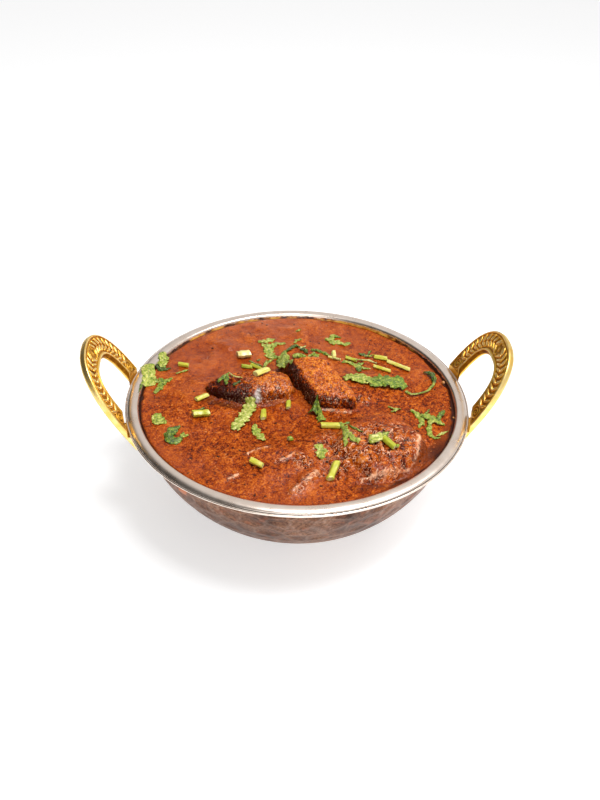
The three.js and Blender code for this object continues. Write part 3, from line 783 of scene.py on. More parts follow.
directions, chunkFaces = blockGrid(chunkDetail)
foodMeshes = []  # what the garnish can lie on: points and faces in millimetres
for chunk in chunks:
    smooth = chunkSurface(directions, chunk)
    facing = normalsOf(smooth, chunkFaces)
    if ((smooth - chunk["centre"]) * facing).sum(1).mean() < 0:
        facing = -facing
    along = smooth * np.array(chunk["fibre"])
    fibres = 1 - 2 * np.abs(unevenness(along, 1.5, 5))
    knobs = 0.55 * unevenness(smooth, 4.2, 1) + 0.35 * unevenness(smooth, 2.0, 2)
    crumbs = 0.6 * unevenness(smooth, 0.95, 3) + 0.4 * unevenness(smooth, 0.5, 4)
    bump = chunk["ragged"] * (0.75 * knobs + 0.35 * fibres + 0.45 * crumbs)
    if chunk["coated"]:
        coatedTree = BVHTree.FromPolygons(smooth.tolist(), chunkFaces)
        bump = bump * 0.2 - 0.6
    rough = smooth + facing * bump[:, None]
    # the meat's tone, darker in its hollows as painted shade
    toneAndShade = chunk["tone"] + 0.42 * (knobs * 0.4 + fibres * 0.4 + crumbs * 0.8)
    for way, strength in chunk["shadedSides"]:  # painted shade: the sides turned away from the light are darkened
        way = np.array(way) / np.linalg.norm(way)
        toneAndShade -= strength * np.clip((facing @ way - 0.25) / 0.45, 0, 1)
    # dark patches: partly darker meat, partly painted shadow low on the front faces
    for spot, reach, strength in chunk["stainsAndShadows"]:
        toneAndShade -= strength * np.exp(-((smooth - spot) ** 2).sum(1) / reach ** 2)
    oilyAndGlinting = np.zeros(len(smooth))
    for spot, reach, strength in chunk["oilyAndGlinting"]:
        oilyAndGlinting = np.maximum(oilyAndGlinting, strength * np.exp(-(((smooth - spot) ** 2).sum(1) / reach ** 2) ** 1.5))
    glintSpot = np.zeros(len(smooth))
    if chunk["glintSpot"]:  # a painted highlight: a pale spot where the wet front face glints
        spot, reach = chunk["glintSpot"]
        away = (smooth - spot) * (1, 0.6, 0.5) + 0.5 * unevenness(smooth, 1.1, 6)[:, None]
        glintSpot = np.exp(-(away ** 2).sum(1) ** 2 / reach ** 4)
    newPiece("dressed_" + chunk["name"], rough, chunkFaces, braisedMutton, [chunk["name"]],
             {"toneAndShade": toneAndShade, "oilyAndGlinting": oilyAndGlinting, "glintSpot": glintSpot})
    foodMeshes.append((rough, chunkFaces))
print("mutton")


# gravy

gravy = {
    "level": 48.0,
    "wallRadius": 68.85,  # just into the steel wall
    "squares": 286,
    "coat": 0.35,  # over the chunk that it covers
    "climb": 1.3,  # up the sides of the other chunks
    "coatReach": 30,  # how far from that chunk's centre it is looked for
    "climbRounds": 7,  # how often the climb is evened out
    "wallShadeAndOil": [  # bearing in degrees and width of the dark band by the wall: dark oil and painted shade
        (-180, 1.3), (-135, 0.9), (-100, 0.5), (-75, 0.7), (-40, 1.7), (0, 1.5), (25, 1.1), (50, 0.8),
        (80, 0.5), (130, 0.3), (155, 0.7), (180, 1.3)],
    "poolBearing": -36,  # a pool of oil by the wall, at the front right
    "poolSpread": 21,
    "fleckDensity": 7000,  # a square metre
    "fleckSize": 1.05,
    "grainDensity": 150000,
    "grainSize": 0.62,
    "oilPoolsAndShadows": [  # pools of dark oil and painted shadows at the feet of the mutton: centre, half lengths, turn and strength
        ((-32, -3.4), (11, 1.9), -19, 0.75), ((34.6, -40.8), (2.2, 1.6), 0, 0.9),
        ((55.5, -37.5), (3.6, 8), -35, 0.8), ((39, -55.6), (8, 2), 26, 0.85), ((27, -58), (9, 2.2), 8, 0.5),
        ((-8, -4), (9, 1.6), 6, 0.35), ((22, -15.5), (10, 1.6), -4, 0.4), ((-61, 3), (3.4, 2), 0, 0.3)],
    "oilBeads": [  # place in the picture, width
        ((443.4, 382.4), 1.9), ((453.6, 417.6), 1.0), ((450.5, 408), 0.7), ((446, 391), 0.6)],
    "swells": [  # centre, half lengths, turn and height
        ((-8, -42), (19, 13), 8, 2.4), ((0.5, -54.5), (8.5, 2.8), 55, 1.6), ((-14, -38.5), (13, 3), 3, 1.1),
        ((25, -32), (23, 18), 24, 2.2), ((8, -32), (9, 9), 0, 1.2), ((8, 4), (22, 20), -50, 1.5),
        ((-22, 6), (24, 15), 0, 1.3), ((33, 12), (18, 9), -15, 1.3), ((-30, 44), (7, 5), -30, 1.2),
        ((-48, 8), (10, 22), 15, 0.8)],
    "folds": [  # glossy folds with a painted glint on their crests: line, half width and height
        ([(-5, -60.7), (-2.1, -58.5), (1.6, -54.8), (5.4, -51.3)], 1.2, 1.3),
        ([(-22, -38.9), (-18, -36.4), (-14.4, -35)], 0.75, 0.45),
        ([(-9.8, -43.6), (-6.9, -42.4), (-3.8, -40.6)], 0.8, 0.45),
        ([(22.5, -54.2), (28, -54), (34, -52.4), (39.7, -50.6), (44, -47.6), (46.6, -42), (47.6, -35.5)],
         0.9, 1.1),
        ([(10.4, -9.9), (15, -10.2)], 0.5, 0.3), ([(16.8, -11), (22.3, -10.8)], 0.5, 0.3),
        ([(-29.8, -51.8), (-26.8, -49.6)], 0.7, 0.35)],
    "cracks": [  # creases, darkened in them as painted shade: line, half width and depth
        ([(-24, -37.5), (-19, -34.8), (-14.4, -33.4)], 0.7, 0.5),
        ([(-11, -45), (-6, -43.8), (-2.6, -42)], 0.7, 0.5),
        ([(11.8, -32.5), (12.4, -39.5), (13.9, -45.8), (12.9, -50)], 0.7, 1.5),
        ([(14.6, -45), (17, -49), (16, -54)], 0.6, 0.9),
        ([(34, -37.5), (37.5, -39.5), (36.2, -42.5)], 1.3, 1.3),
        ([(20, -56.3), (30, -56), (36, -54.3), (41.5, -52.6), (46.3, -48.8), (49.2, -42), (50, -36)], 0.7, 0.9),
        ([(28.4, -44), (29.6, -49.5)], 0.6, 1.0)],
    "wrinkled": [  # centre and half lengths
        ((32, -40), (18.5, 13)), ((12, -41), (7, 12)), ((28, -1), (5.5, 3.5)), ((-1, -44), (4, 4))],
}


def fromLine(points, line):  # distance from a polyline in plan
    best = np.full(len(points), 1e9)
    line = np.array(line, float)
    for a, b in zip(line[:-1], line[1:]):
        t = np.clip(((points - a) @ (b - a)) / ((b - a) @ (b - a)), 0, 1)
        best = np.minimum(best, np.linalg.norm(points - a - t[:, None] * (b - a), axis=1))
    return best


def swellHeight(plan):
    height = np.full(len(plan), gravy["level"])
    for centre, halves, turn, rise in gravy["swells"]:
        height += rise * np.exp(-(ellipse(plan, centre, halves, turn) ** 1.4))
    ripples = np.sin(0.31 * plan[:, 0] + 0.12 * plan[:, 1]) * np.sin(0.27 * plan[:, 1] - 0.08 * plan[:, 0])
    return height + 0.25 * ripples


def foodTree(meshes):
    points, faces, base = [], [], 0
    for meshPoints, meshFaces in meshes:
        points.append(meshPoints)
        faces += [[base + v for v in face] for face in meshFaces]
        base += len(meshPoints)
    return BVHTree.FromPolygons(np.vstack(points).tolist(), faces)


def heightsOn(tree, plan, missing):  # height of a surface under points in plan
    heights = np.full(len(plan), missing, float)
    for k, (x, y) in enumerate(plan):
        hit = tree.ray_cast(Vector((x, y, 90)), Vector((0, 0, -1)))[0]
        if hit:
            heights[k] = hit.z
    return heights


def gravySurface(plan, film):  # height, and the masks that its colour reads
    wet = np.zeros(len(plan))
    ragged = plan + 2.2 * np.stack([unevenness(plan, 5, 29), unevenness(plan, 5, 30)], 1)
    for centre, halves in gravy["wrinkled"]:
        wet = np.maximum(wet, np.exp(-(ellipse(ragged, centre, halves) ** 2)))
    slow = (0.20 * unevenness(plan, 8, 11) + 0.16 * unevenness(plan, 3.6, 12)) * (1 + film)
    wrinkle, fine = (  # rounded ridges, sharp valleys
        np.abs(unevenness(plan + bend * unevenness(plan, bendSize, seed)[:, None], size, seed + 1)) * 2.4 - 1
        for bend, bendSize, seed, size in ((0.9, 3, 13, 3.0), (0.7, 2, 24, 1.7)))
    crumbs = 0.12 * unevenness(plan, 1.35, 15) + 0.07 * unevenness(plan, 0.75, 16)
    crumbs = crumbs * (1 - 0.6 * film) * (1 - 0.65 * wet)
    height = swellHeight(plan) + slow
    covered = chunks[-1]["centre"]
    near = np.hypot(plan[:, 0] - covered[0], plan[:, 1] - covered[1]) < gravy["coatReach"]
    coat = np.zeros(len(plan))
    coat[near] = heightsOn(coatedTree, plan[near], 0) + gravy["coat"]
    height = (height + coat + np.sqrt((height - coat) ** 2 + 1.2)) / 2
    side = int(math.sqrt(len(plan)))
    blocked = heightsOn(foodTree(foodMeshes[:2]), plan, 0) > height
    climb = blocked.astype(float).reshape(side, side)
    for _ in range(gravy["climbRounds"]):
        climb = (neighbours(climb) + climb) / 5
    height += gravy["climb"] * climb.ravel()
    height += crumbs + wet * (0.4 * wrinkle + 0.42 * fine + 0.15 * unevenness(plan, 3.1, 17))
    foldGlintCrackShade = np.zeros(len(plan))
    for line, width, rise in gravy["folds"]:
        away = fromLine(plan, line)
        height += rise * np.exp(-(away / width) ** 2) * (1 + 0.4 * unevenness(plan, 1.7, 18))
        # painted glint along the crest of each fold
        crest = (away + min(0.8, 0.6 * width) * unevenness(plan, 1.5, 31)) / width / 0.55
        foldGlintCrackShade = np.maximum(foldGlintCrackShade, np.exp(-crest ** 2) * (0.7 + 0.5 * unevenness(plan, 2.4, 32)))
        wet = np.maximum(wet, np.exp(-(away / width / 1.7) ** 2))
    for line, width, depth in gravy["cracks"]:
        near = np.exp(-((fromLine(plan, line) + 0.35 * unevenness(plan, 1.4, 19)) / width) ** 2)
        height -= depth * near
        # painted shade in the cracks
        foldGlintCrackShade = foldGlintCrackShade - 0.8 * near
    radius = np.linalg.norm(plan, axis=1)
    rim = np.clip((radius - 62) / 6.4, 0, 1)
    height += (gravy["level"] - height) * rim * 0.7 + 0.3 * np.exp(-(gravy["wallRadius"] - radius) / 0.8)
    # the tone: darker in the hollows and cracks as painted shade, lighter under the oil film as a painted
    # sheen, lighter on the folds as a painted highlight
    toneAndShade = 0.47 + 1.7 * crumbs + 0.25 * slow + 0.09 * film
    toneAndShade = toneAndShade + wet * (0.14 * wrinkle + 0.3 * fine + 0.08) + 0.15 * foldGlintCrackShade
    return height, toneAndShade, wet, np.clip(foldGlintCrackShade, 0, 1)


def diskGrid(squares, reach):  # a square grid drawn to a disk
    line = np.linspace(-1, 1, squares + 1)
    a, b = (values.ravel() for values in np.meshgrid(line, line, indexing="ij"))
    wide = np.abs(a) > np.abs(b)
    safeA, safeB = np.where(a == 0, 1, a), np.where(b == 0, 1, b)
    radius = np.where(wide, a, b)
    angle = np.where(wide, math.pi / 4 * b / safeA, math.pi / 2 - math.pi / 4 * a / safeB)
    plan = np.stack([radius * np.cos(angle), radius * np.sin(angle)], 1) * reach
    return plan, gridBorder(squares + 1, squares + 1)


# masala gravy: onion and tomato paste in red oil, grainy and wet, darker where oil pools by the wall; painted
# shade in the hollows, by the wall and at the feet of the mutton, painted glints on the wet wrinkles and folds
masalaGravy, tree, shader, coordinates = newMaterial("oily_masala_gravy", "#b4551f")
maskNames = ("toneAndShade", "wet", "oil", "edge", "film", "fold")
toneAndShade, wet, oil, edge, film, fold = (attribute(tree, name) for name in maskNames)
grain = noise(tree, coordinates, 1500, 4, roughness=0.65)  # 0.7 mm grains
clouds = noise(tree, coordinates, 95, 5, roughness=0.6)
ridges = noise(tree, coordinates, 400, 0.8, distortion=1.5)  # 2.5 mm wrinkles
offside, ridges = (maths(tree, "ABSOLUTE", maths(tree, "SUBTRACT", ridges, middle)) for middle in (0.41, 0.5))
ridges = rescaled(tree, ridges, high=0.06, toLow=1.0, toHigh=0.0, interpolation_type="SMOOTHSTEP")
# painted shade beside each wet ridge, as if it were lit from one side
valleyShade = product(tree, rescaled(tree, offside, high=0.06, toLow=-0.46, toHigh=0.03), wet)
toneAndShade = maths(tree, "ADD", toneAndShade, valleyShade)
contrast = summed(tree, 2.3, (film, -1.6), (wet, -1.0))  # less under a film of oil
tone = maths(tree, "SUBTRACT", grain, 0.5)
tone = summed(tree, toneAndShade, (tone, contrast), (clouds, 0.25))
tint = ramp(tree, maths(tree, "SUBTRACT", tone, 0.12), [
    (0.1, "#330c02"), (0.32, "#772705"), (0.5, "#9a3f06"), (0.7, "#b65510"), (0.92, "#cf7628")])
specks = noise(tree, coordinates, 640, 1, seed=7.0)
tint = mixed(tree, ramp(tree, specks, [(0.69, 0.0), (0.74, 0.85)]), tint, "#3b1a10")
# painted glints: pale peach on the wet ridges and the folds
paintedGlints = product(tree, rescaled(tree, ridges, 0.35, 0.9), wet)
paintedGlints = maths(tree, "MULTIPLY_ADD", fold, 1.0, paintedGlints)
broken = rescaled(tree, specks, 0.4, 0.5, 0.4, 1.0)
paintedGlints = maths(tree, "MULTIPLY", paintedGlints, broken, use_clamp=True)
tint = mixed(tree, paintedGlints, tint, "#fbc199")
tint = mixed(tree, oil, tint, ramp(tree, grain, [(0.35, "#5c220b"), (0.65, "#984512")]))
# dark by the wall and in the dark spots: dark oil and painted shade
tint = mixed(tree, edge, tint, "#34140b")
gloss = summed(tree, rescaled(tree, clouds, 0.3, 0.7, 0.26, 0.42), (wet, -0.1), (oil, -0.2))
calm = maths(tree, "MULTIPLY_ADD", oil, -0.8, 1.0)
calm = maths(tree, "MULTIPLY_ADD", wet, -0.95, calm, use_clamp=True)
bumps = maths(tree, "MULTIPLY_ADD", product(tree, ridges, wet), 0.8, product(tree, grain, calm))
relief = bumped(tree, bumps, 1.0, 0.0003)
glinting = product(tree, rescaled(tree, ridges, toLow=0.05), wet)
coat = maths(tree, "MULTIPLY_ADD", film, 0.45, glinting)
setInputs(tree, shader, {
    "Base Color": tint, "Roughness": gloss, "Specular IOR Level": 0.12, "Normal": relief, "Coat Normal": relief,
    "Coat Weight": maths(tree, "MULTIPLY", coat, 0.9, use_clamp=True), "Coat Roughness": 0.07, "Coat IOR": 1.7})

plan, border = diskGrid(gravy["squares"], gravy["wallRadius"])
film = 0.08 + np.clip((plan[:, 1] - 2) / 30, 0, 0.65) - 0.004 * plan[:, 0]  # most oil at the back and left
film = np.clip(film + 0.4 * unevenness(plan, 12, 28), 0, 1)
height, toneAndShade, wet, foldGlintCrackShade = gravySurface(plan, film)
radius = np.linalg.norm(plan, axis=1)
bearing = np.degrees(np.arctan2(plan[:, 1], plan[:, 0]))
fromPool = np.mod(bearing - gravy["poolBearing"] + 180, 360) - 180
poolMask = np.exp(-(fromPool / gravy["poolSpread"]) ** 2)
ring = 1.2 + 1.5 * unevenness(plan, 9, 21) ** 2 + 4.8 * poolMask * (1 + 0.4 * unevenness(plan, 5, 22))
oil = np.clip((radius - (gravy["wallRadius"] - ring)) / 0.9, 0, 1)
# the dark band by the wall: dark oil and painted shade
bearings, widths = zip(*gravy["wallShadeAndOil"])
band = np.interp(bearing, bearings, widths) * (1 + 0.5 * unevenness(plan, 3.5, 23))
edge = np.clip((radius - (gravy["wallRadius"] - band)) / 0.7, 0, 1)
height = height - 0.55 * edge
ragged = plan + 1.1 * np.stack([unevenness(plan, 2.6, 26), unevenness(plan, 2.6, 27)], 1)
# dark oil pools and painted shadows
for centre, halves, turn, strength in gravy["oilPoolsAndShadows"]:
    spot = strength * np.exp(-(ellipse(ragged, centre, halves, turn) ** 1.5))
    height = height - 0.5 * spot
    edge = np.maximum(edge, spot)
points = np.column_stack([plan, height])
topPoints, topFaces = points, gridFaces(gravy["squares"] + 1, gravy["squares"] + 1)
faces = list(topFaces)
foodMeshes.append((topPoints, topFaces))
wall = wallCurve(linerInset - 0.05, gravy["level"] - 1.5, 9)
outward = plan[border] / gravy["wallRadius"]
loops = [border]
for wallRadius, wallHeight in wall[:0:-1]:
    loops.append(np.arange(len(border)) + len(points))
    points = np.vstack([points, np.column_stack([outward * wallRadius, np.full(len(border), wallHeight)])])
points = np.vstack([points, [0, 0, wall[0, 1]]])
for upper, lower in zip(loops, loops[1:]):
    faces += np.stack([upper, lower, np.roll(lower, -1), np.roll(upper, -1)], 1).tolist()
faces += [(int(a), int(b), len(points) - 1) for a, b in zip(loops[-1], np.roll(loops[-1], -1))]
below = np.ones(len(points) - len(plan))
masks = zip(maskNames, (toneAndShade, wet, oil, edge, film, foldGlintCrackShade), (0.4, 0, 1, 1, 0, 0))
newPiece("dressed_curry_gravy", points, faces, masalaGravy, ["curry_gravy"], {
    name: np.concatenate([values, hidden * below]) for name, values, hidden in masks})
foodMeshes.append((linerPoints, linerFaces))


def grainModel(name, flat):  # a lumpy grain, one millimetre wide
    mesh = bpy.data.meshes.new(name)
    shape = bmesh.new()
    bmesh.ops.create_icosphere(shape, subdivisions=1, radius=0.5 * millimetre)
    for vertex in shape.verts:
        vertex.co.z *= flat
        vertex.co.x *= 1.25
    shape.to_mesh(mesh)
    shape.free()
    mesh.shade_smooth()
    return bpy.data.objects.new(name, mesh)


def strewnTree(name, grain, material, seed):  # grains strewn at random over a surface
    tree, given = newTree(name, "Density", "Size")
    spots = addNode(tree, "GeometryNodeDistributePointsOnFaces", {
        "Mesh": given["Geometry"], "Density": given["Density"], "Seed": seed}).outputs
    size, spin = (
        addNode(tree, "FunctionNodeRandomValue", {2: least, 3: most, "Seed": seed + k},
                data_type="FLOAT").outputs[1]
        for k, least, most in ((1, 0.45, 1.35), (2, 0.0, 6.283)))
    size = maths(tree, "MULTIPLY", size, given["Size"])
    finishTree(tree, scattered(tree, spots["Points"], grain, spots["Rotation"], spin, size), material)
    return tree


# roasted spice: flecks of dark brown husk in the gravy
roastedSpice, tree, shader, coordinates = newMaterial("roasted_spice_flecks", "#40201a")
tint = ramp(tree, noise(tree, coordinates, 300), [(0.35, "#2e140c"), (0.6, "#5a2f1e")])
setInputs(tree, shader, {"Base Color": tint, "Roughness": 0.5, "Specular IOR Level": 0.2})

# ground onion and tomato: soft grains, orange with oil
groundMasala, tree, shader, coordinates = newMaterial("ground_masala_grains", "#b4611f")
tint = ramp(tree, noise(tree, coordinates, 420), [(0.3, "#8c3a0d"), (0.5, "#ad5515"), (0.7, "#c97b2f")])
setInputs(tree, shader, {"Base Color": tint, "Roughness": 0.3})

inner = np.linalg.norm(plan, axis=1) < gravy["wallRadius"] - 2.5
rough = inner & (wet < 0.4) & (film < 0.55)
for name, model, material, seed, density, size, low, bare in (
        ("spice_flecks", grainModel("fleck", 0.3), roastedSpice, 5, "fleckDensity", "fleckSize", 0.05, inner),
        ("masala_grains", grainModel("grain", 0.7), groundMasala, 8, "grainDensity", "grainSize", 0.12, rough)):
    spread = [face for face in topFaces if bare[list(face)].all()]
    holder = withTree(name, topPoints - [0, 0, low], spread, strewnTree(name, model, material, seed), {
        "Density": float(gravy[density]), "Size": gravy[size]})
    addPiece(name, meshFromNodes(holder))
print("gravy")


# coriander

# Places are points of the 600 x 800 picture: each is carried down the camera's line of sight on to the food.
coriander = {
    "leafThickness": 0.3,
    "cell": 0.42,  # size of a leaf's mesh squares
    "droop": 0.7,  # steepest fall of a leaf away from its middle
    "stemSides": 20,
    "stemFlatness": 0.8,  # height to width
    "sink": 0.15,  # how far a stem lies in the gravy
    "clearance": 0.32,  # of a leaf's upper side over the food
}

food = foodTree(foodMeshes)
bpy.context.view_layer.update()
eye = camera.matrix_world.translation / millimetre
rightward, upward, backward = (camera.matrix_world.col[k].to_3d() for k in range(3))
focal = studio["lens"] / studio["sensorWidth"] * max(studio["pictureSize"])


def onFood(spot, rise=0.0):  # a picture point, this far above the food or above the height that the spot names
    x, y = (spot[k] - studio["pictureSize"][k] / 2 for k in range(2))
    sight = rightward * x / focal - upward * y / focal - backward
    height = gravy["level"] + spot[2] if len(spot) == 3 else food.ray_cast(eye, sight)[0].z
    return np.array(eye + sight * ((height + rise - eye.z) / sight.z))


def groundUnder(plan):  # height of the food under each point in plan
    return heightsOn(food, plan, gravy["level"])


# clear oil: amber beads that float by the wall
amberOil, tree, shader, _ = newMaterial("clear_amber_oil", "#8a4518")
setInputs(tree, shader, {"Base Color": linearColour("#b5763a"), "Roughness": 0.06})
dome = [(math.cos(t) / 2, 0.34 * math.sin(t)) for t in np.linspace(-0.3, 1.45, 9)]
beadPoints, beadFaces = spun([(0, -0.3), *dome, (0, 0.345)], 28)
points, faces = [], []
for k, (spot, width) in enumerate(gravy["oilBeads"]):
    faces += [tuple(k * len(beadPoints) + v for v in face) for face in beadFaces]
    points.append(onFood(spot) + beadPoints * width)
newPiece("oil_beads", np.vstack(points), faces, amberOil)


usualBlade = {
    "start": 0.25,  # width at the root and at the tip, as a share of the greatest
    "end": 0.2,
    "fold": 0.3,  # how far the middle stands up, and the whole blade in its middle
    "lift": 0.0,
    "curl": 0.4,
    "depth": 0.42,  # of the teeth
    "spread": 0.32,  # share of the length in which the blade gets its full width
}


def softened(values, rounds):  # evens out a grid of heights without going under them much
    for _ in range(rounds):
        mean = neighbours(values) / 4
        values = np.maximum(mean, 0.5 * (values + mean))
    return values


def leafBlade(path, width, tone, teeth, differing=None, seed=0):
    form = {**usualBlade, **(differing or {})}
    start, end, fold, lift, curl, depth, spread = (form[key] for key in usualBlade)
    share = np.linspace(0, 1, len(path))
    above = coriander["clearance"] + fold + lift * np.sin(math.pi * share) ** 0.7
    middle = np.array([onFood(spot, rise) for spot, rise in zip(path, above.tolist())])
    middle[:, 2] -= above
    length = np.linalg.norm(np.diff(middle, axis=0), axis=1).sum()
    rows = max(8, int(length / coriander["cell"]) + 1)
    columns = max(5, 2 * int(width / coriander["cell"] / 2) + 1)
    middle = smoothPath(middle, rows)
    spine, middle = middle[:, 2], middle[:, :2]
    along = np.gradient(middle, axis=0)
    along /= np.linalg.norm(along, axis=1)[:, None]
    u = np.linspace(0, 1, rows)
    v = np.linspace(-1, 1, columns)
    rise = np.clip(u / spread, 0, 1)
    rise = rise if spread > 0.6 else np.sin(rise * math.pi / 2)
    fall = np.clip((1 - u) / 0.36, 0, 1)
    envelope = (start + (1 - start) * rise) * (end + (1 - end) * np.sin(fall * math.pi / 2))
    half = []
    for side in (0, 1):  # the saw teeth of either edge don't meet
        saw = np.mod(u * teeth + 0.37 * side + 0.13 * seed, 1)
        uneven = 1 + 0.18 * unevenness(np.stack([u * 9, np.full(rows, 3.0 * side + seed)], 1), 1, 31 + seed)
        finer = np.mod(u * teeth * 2.3 + 0.6 * side + 0.31 * seed, 1)
        notch = 1 - min(0.26, 0.6 * depth) * finer ** 2
        half.append(width / 2 * envelope * uneven * notch * (1 - 1.15 * depth * saw ** 1.6))
    reach = np.where(v[None, :] < 0, half[0][:, None], half[1][:, None]) * v[None, :]
    across = np.stack([-along[:, 1], along[:, 0]], 1)
    plan = middle[:, None, :] + across[:, None, :] * reach[:, :, None]
    ground = groundUnder(plan.reshape(-1, 2)).reshape(rows, columns)
    spine = np.maximum(spine, ground[:, columns // 2])[:, None]
    stiff = spine - coriander["droop"] * np.abs(reach)  # over a steep edge
    ground = softened(np.maximum(ground, stiff), 3)
    phase = 2 * math.pi * (u[:, None] * max(1.5, teeth / 2.2) + 0.31 * seed) + 1.3 * v[None, :]
    wave = curl * np.abs(v)[None, :] ** 1.5 * np.sin(phase)
    stand = coriander["clearance"] + fold * (1 - v[None, :] ** 2) + lift * np.sin(math.pi * u[:, None]) ** 0.7
    stand = stand + np.maximum(wave, -0.15)
    top = np.concatenate([plan, (ground + stand)[:, :, None]], 2)
    normal = np.cross(np.gradient(top, axis=0), np.gradient(top, axis=1))
    normal /= np.maximum(np.linalg.norm(normal, axis=2), 1e-9)[:, :, None]
    normal *= np.sign(normal[:, :, 2:].mean() or 1)
    low = top - normal * coriander["leafThickness"]
    points = np.vstack([top.reshape(-1, 3), low.reshape(-1, 3)])
    count = rows * columns
    under = gridFaces(rows, columns, offset=count)
    faces = gridFaces(rows, columns) + [tuple(reversed(face)) for face in under]
    border = gridBorder(rows, columns)
    faces += [(int(a), int(b), int(b) + count, int(a) + count) for a, b in zip(border, np.roll(border, -1))]
    uv = np.stack(np.meshgrid(u * length / 10, v * width / 10, indexing="ij"), 2).reshape(-1, 2)
    tones = np.full(count, tone) + 0.13 * unevenness(top.reshape(-1, 3), 1.3, 33)
    return points, faces, np.vstack([uv, uv]), np.concatenate([tones, tones - 0.15]), np.zeros(2 * count)


def stemTube(ends, thickness, tone, rings=22):
    radius, flat = thickness / 2, coriander["stemFlatness"]
    a, b = (onFood(spot, radius * flat - coriander["sink"]) for spot in ends)
    line = np.linspace(0, 1, rings)
    axis = b - a
    spots = a + axis * line[:, None]
    side = np.cross(axis, (0, 0, 1))
    side /= np.linalg.norm(side)
    around = [spots[:, :2] + radius * 0.7 * np.array([math.cos(t), math.sin(t)]) for t in (0, 1.57, 3.14, 4.71)]
    ground = np.maximum.reduce([groundUnder(plan) for plan in (spots[:, :2], *around)])
    slope = np.polyfit(line, ground, 1)
    lift = np.max(ground - np.polyval(slope, line))
    spots[:, 2] = np.polyval(slope, line) + lift * 0.6 + radius * flat - coriander["sink"]
    sides = coriander["stemSides"]
    angle = np.linspace(0, 2 * math.pi, sides, endpoint=False)
    forward = spots[-1] - spots[0]
    forward /= np.linalg.norm(forward)
    upright = np.cross(side, forward)
    upright *= np.sign(upright[2])
    ribs = 1 + 0.08 * np.cos(5 * angle + a[0])
    shrink = np.where((line < 0.03) | (line > 0.97), 0.93, 1.0)[:, None]
    ring = side[None, :] * (np.cos(angle) * ribs * radius)[:, None]
    ring = ring + upright[None, :] * (np.sin(angle) * ribs * radius * flat)[:, None]
    wobble = 1 + 0.13 * unevenness(spots, 1.9, 41)[:, None, None]
    slant = 0.35 * np.cos(angle) * radius
    points = spots[:, None, :] + ring[None] * shrink[:, :, None] * wobble
    points[0] += forward * slant[:, None]
    points[-1] += forward * slant[:, None]
    points = points.reshape(-1, 3)
    inner = []
    for k, way in ((0, -1), (rings - 1, 1)):  # cut ends: a pale ring about a sunken core
        rim = points[k * sides:(k + 1) * sides]
        inner.append(rim.mean(0) + (rim - rim.mean(0)) * 0.55 + forward * way * 0.05)
        inner.append(rim.mean(0)[None] - forward * way * 0.12 * radius)
    points = np.vstack([points, *inner])
    faces = gridFaces(rings, sides, closed=True)
    base = rings * sides
    for k, start in ((0, base), (rings - 1, base + sides + 1)):
        for j in range(sides):
            n = (j + 1) % sides
            faces.append((k * sides + j, k * sides + n, start + n, start + j))
            faces.append((start + j, start + n, start + sides))
    tones = np.full(len(points), tone) + 0.08 * unevenness(points, 1.3, 42)
    cut = np.zeros(len(points))
    cut[base:] = 1
    uv = np.zeros((len(points), 2))
    uv[:base] = np.stack([np.repeat(line, sides) * 4, np.tile(angle, rings) / 6.283], 1)
    return points, faces, uv, tones, cut


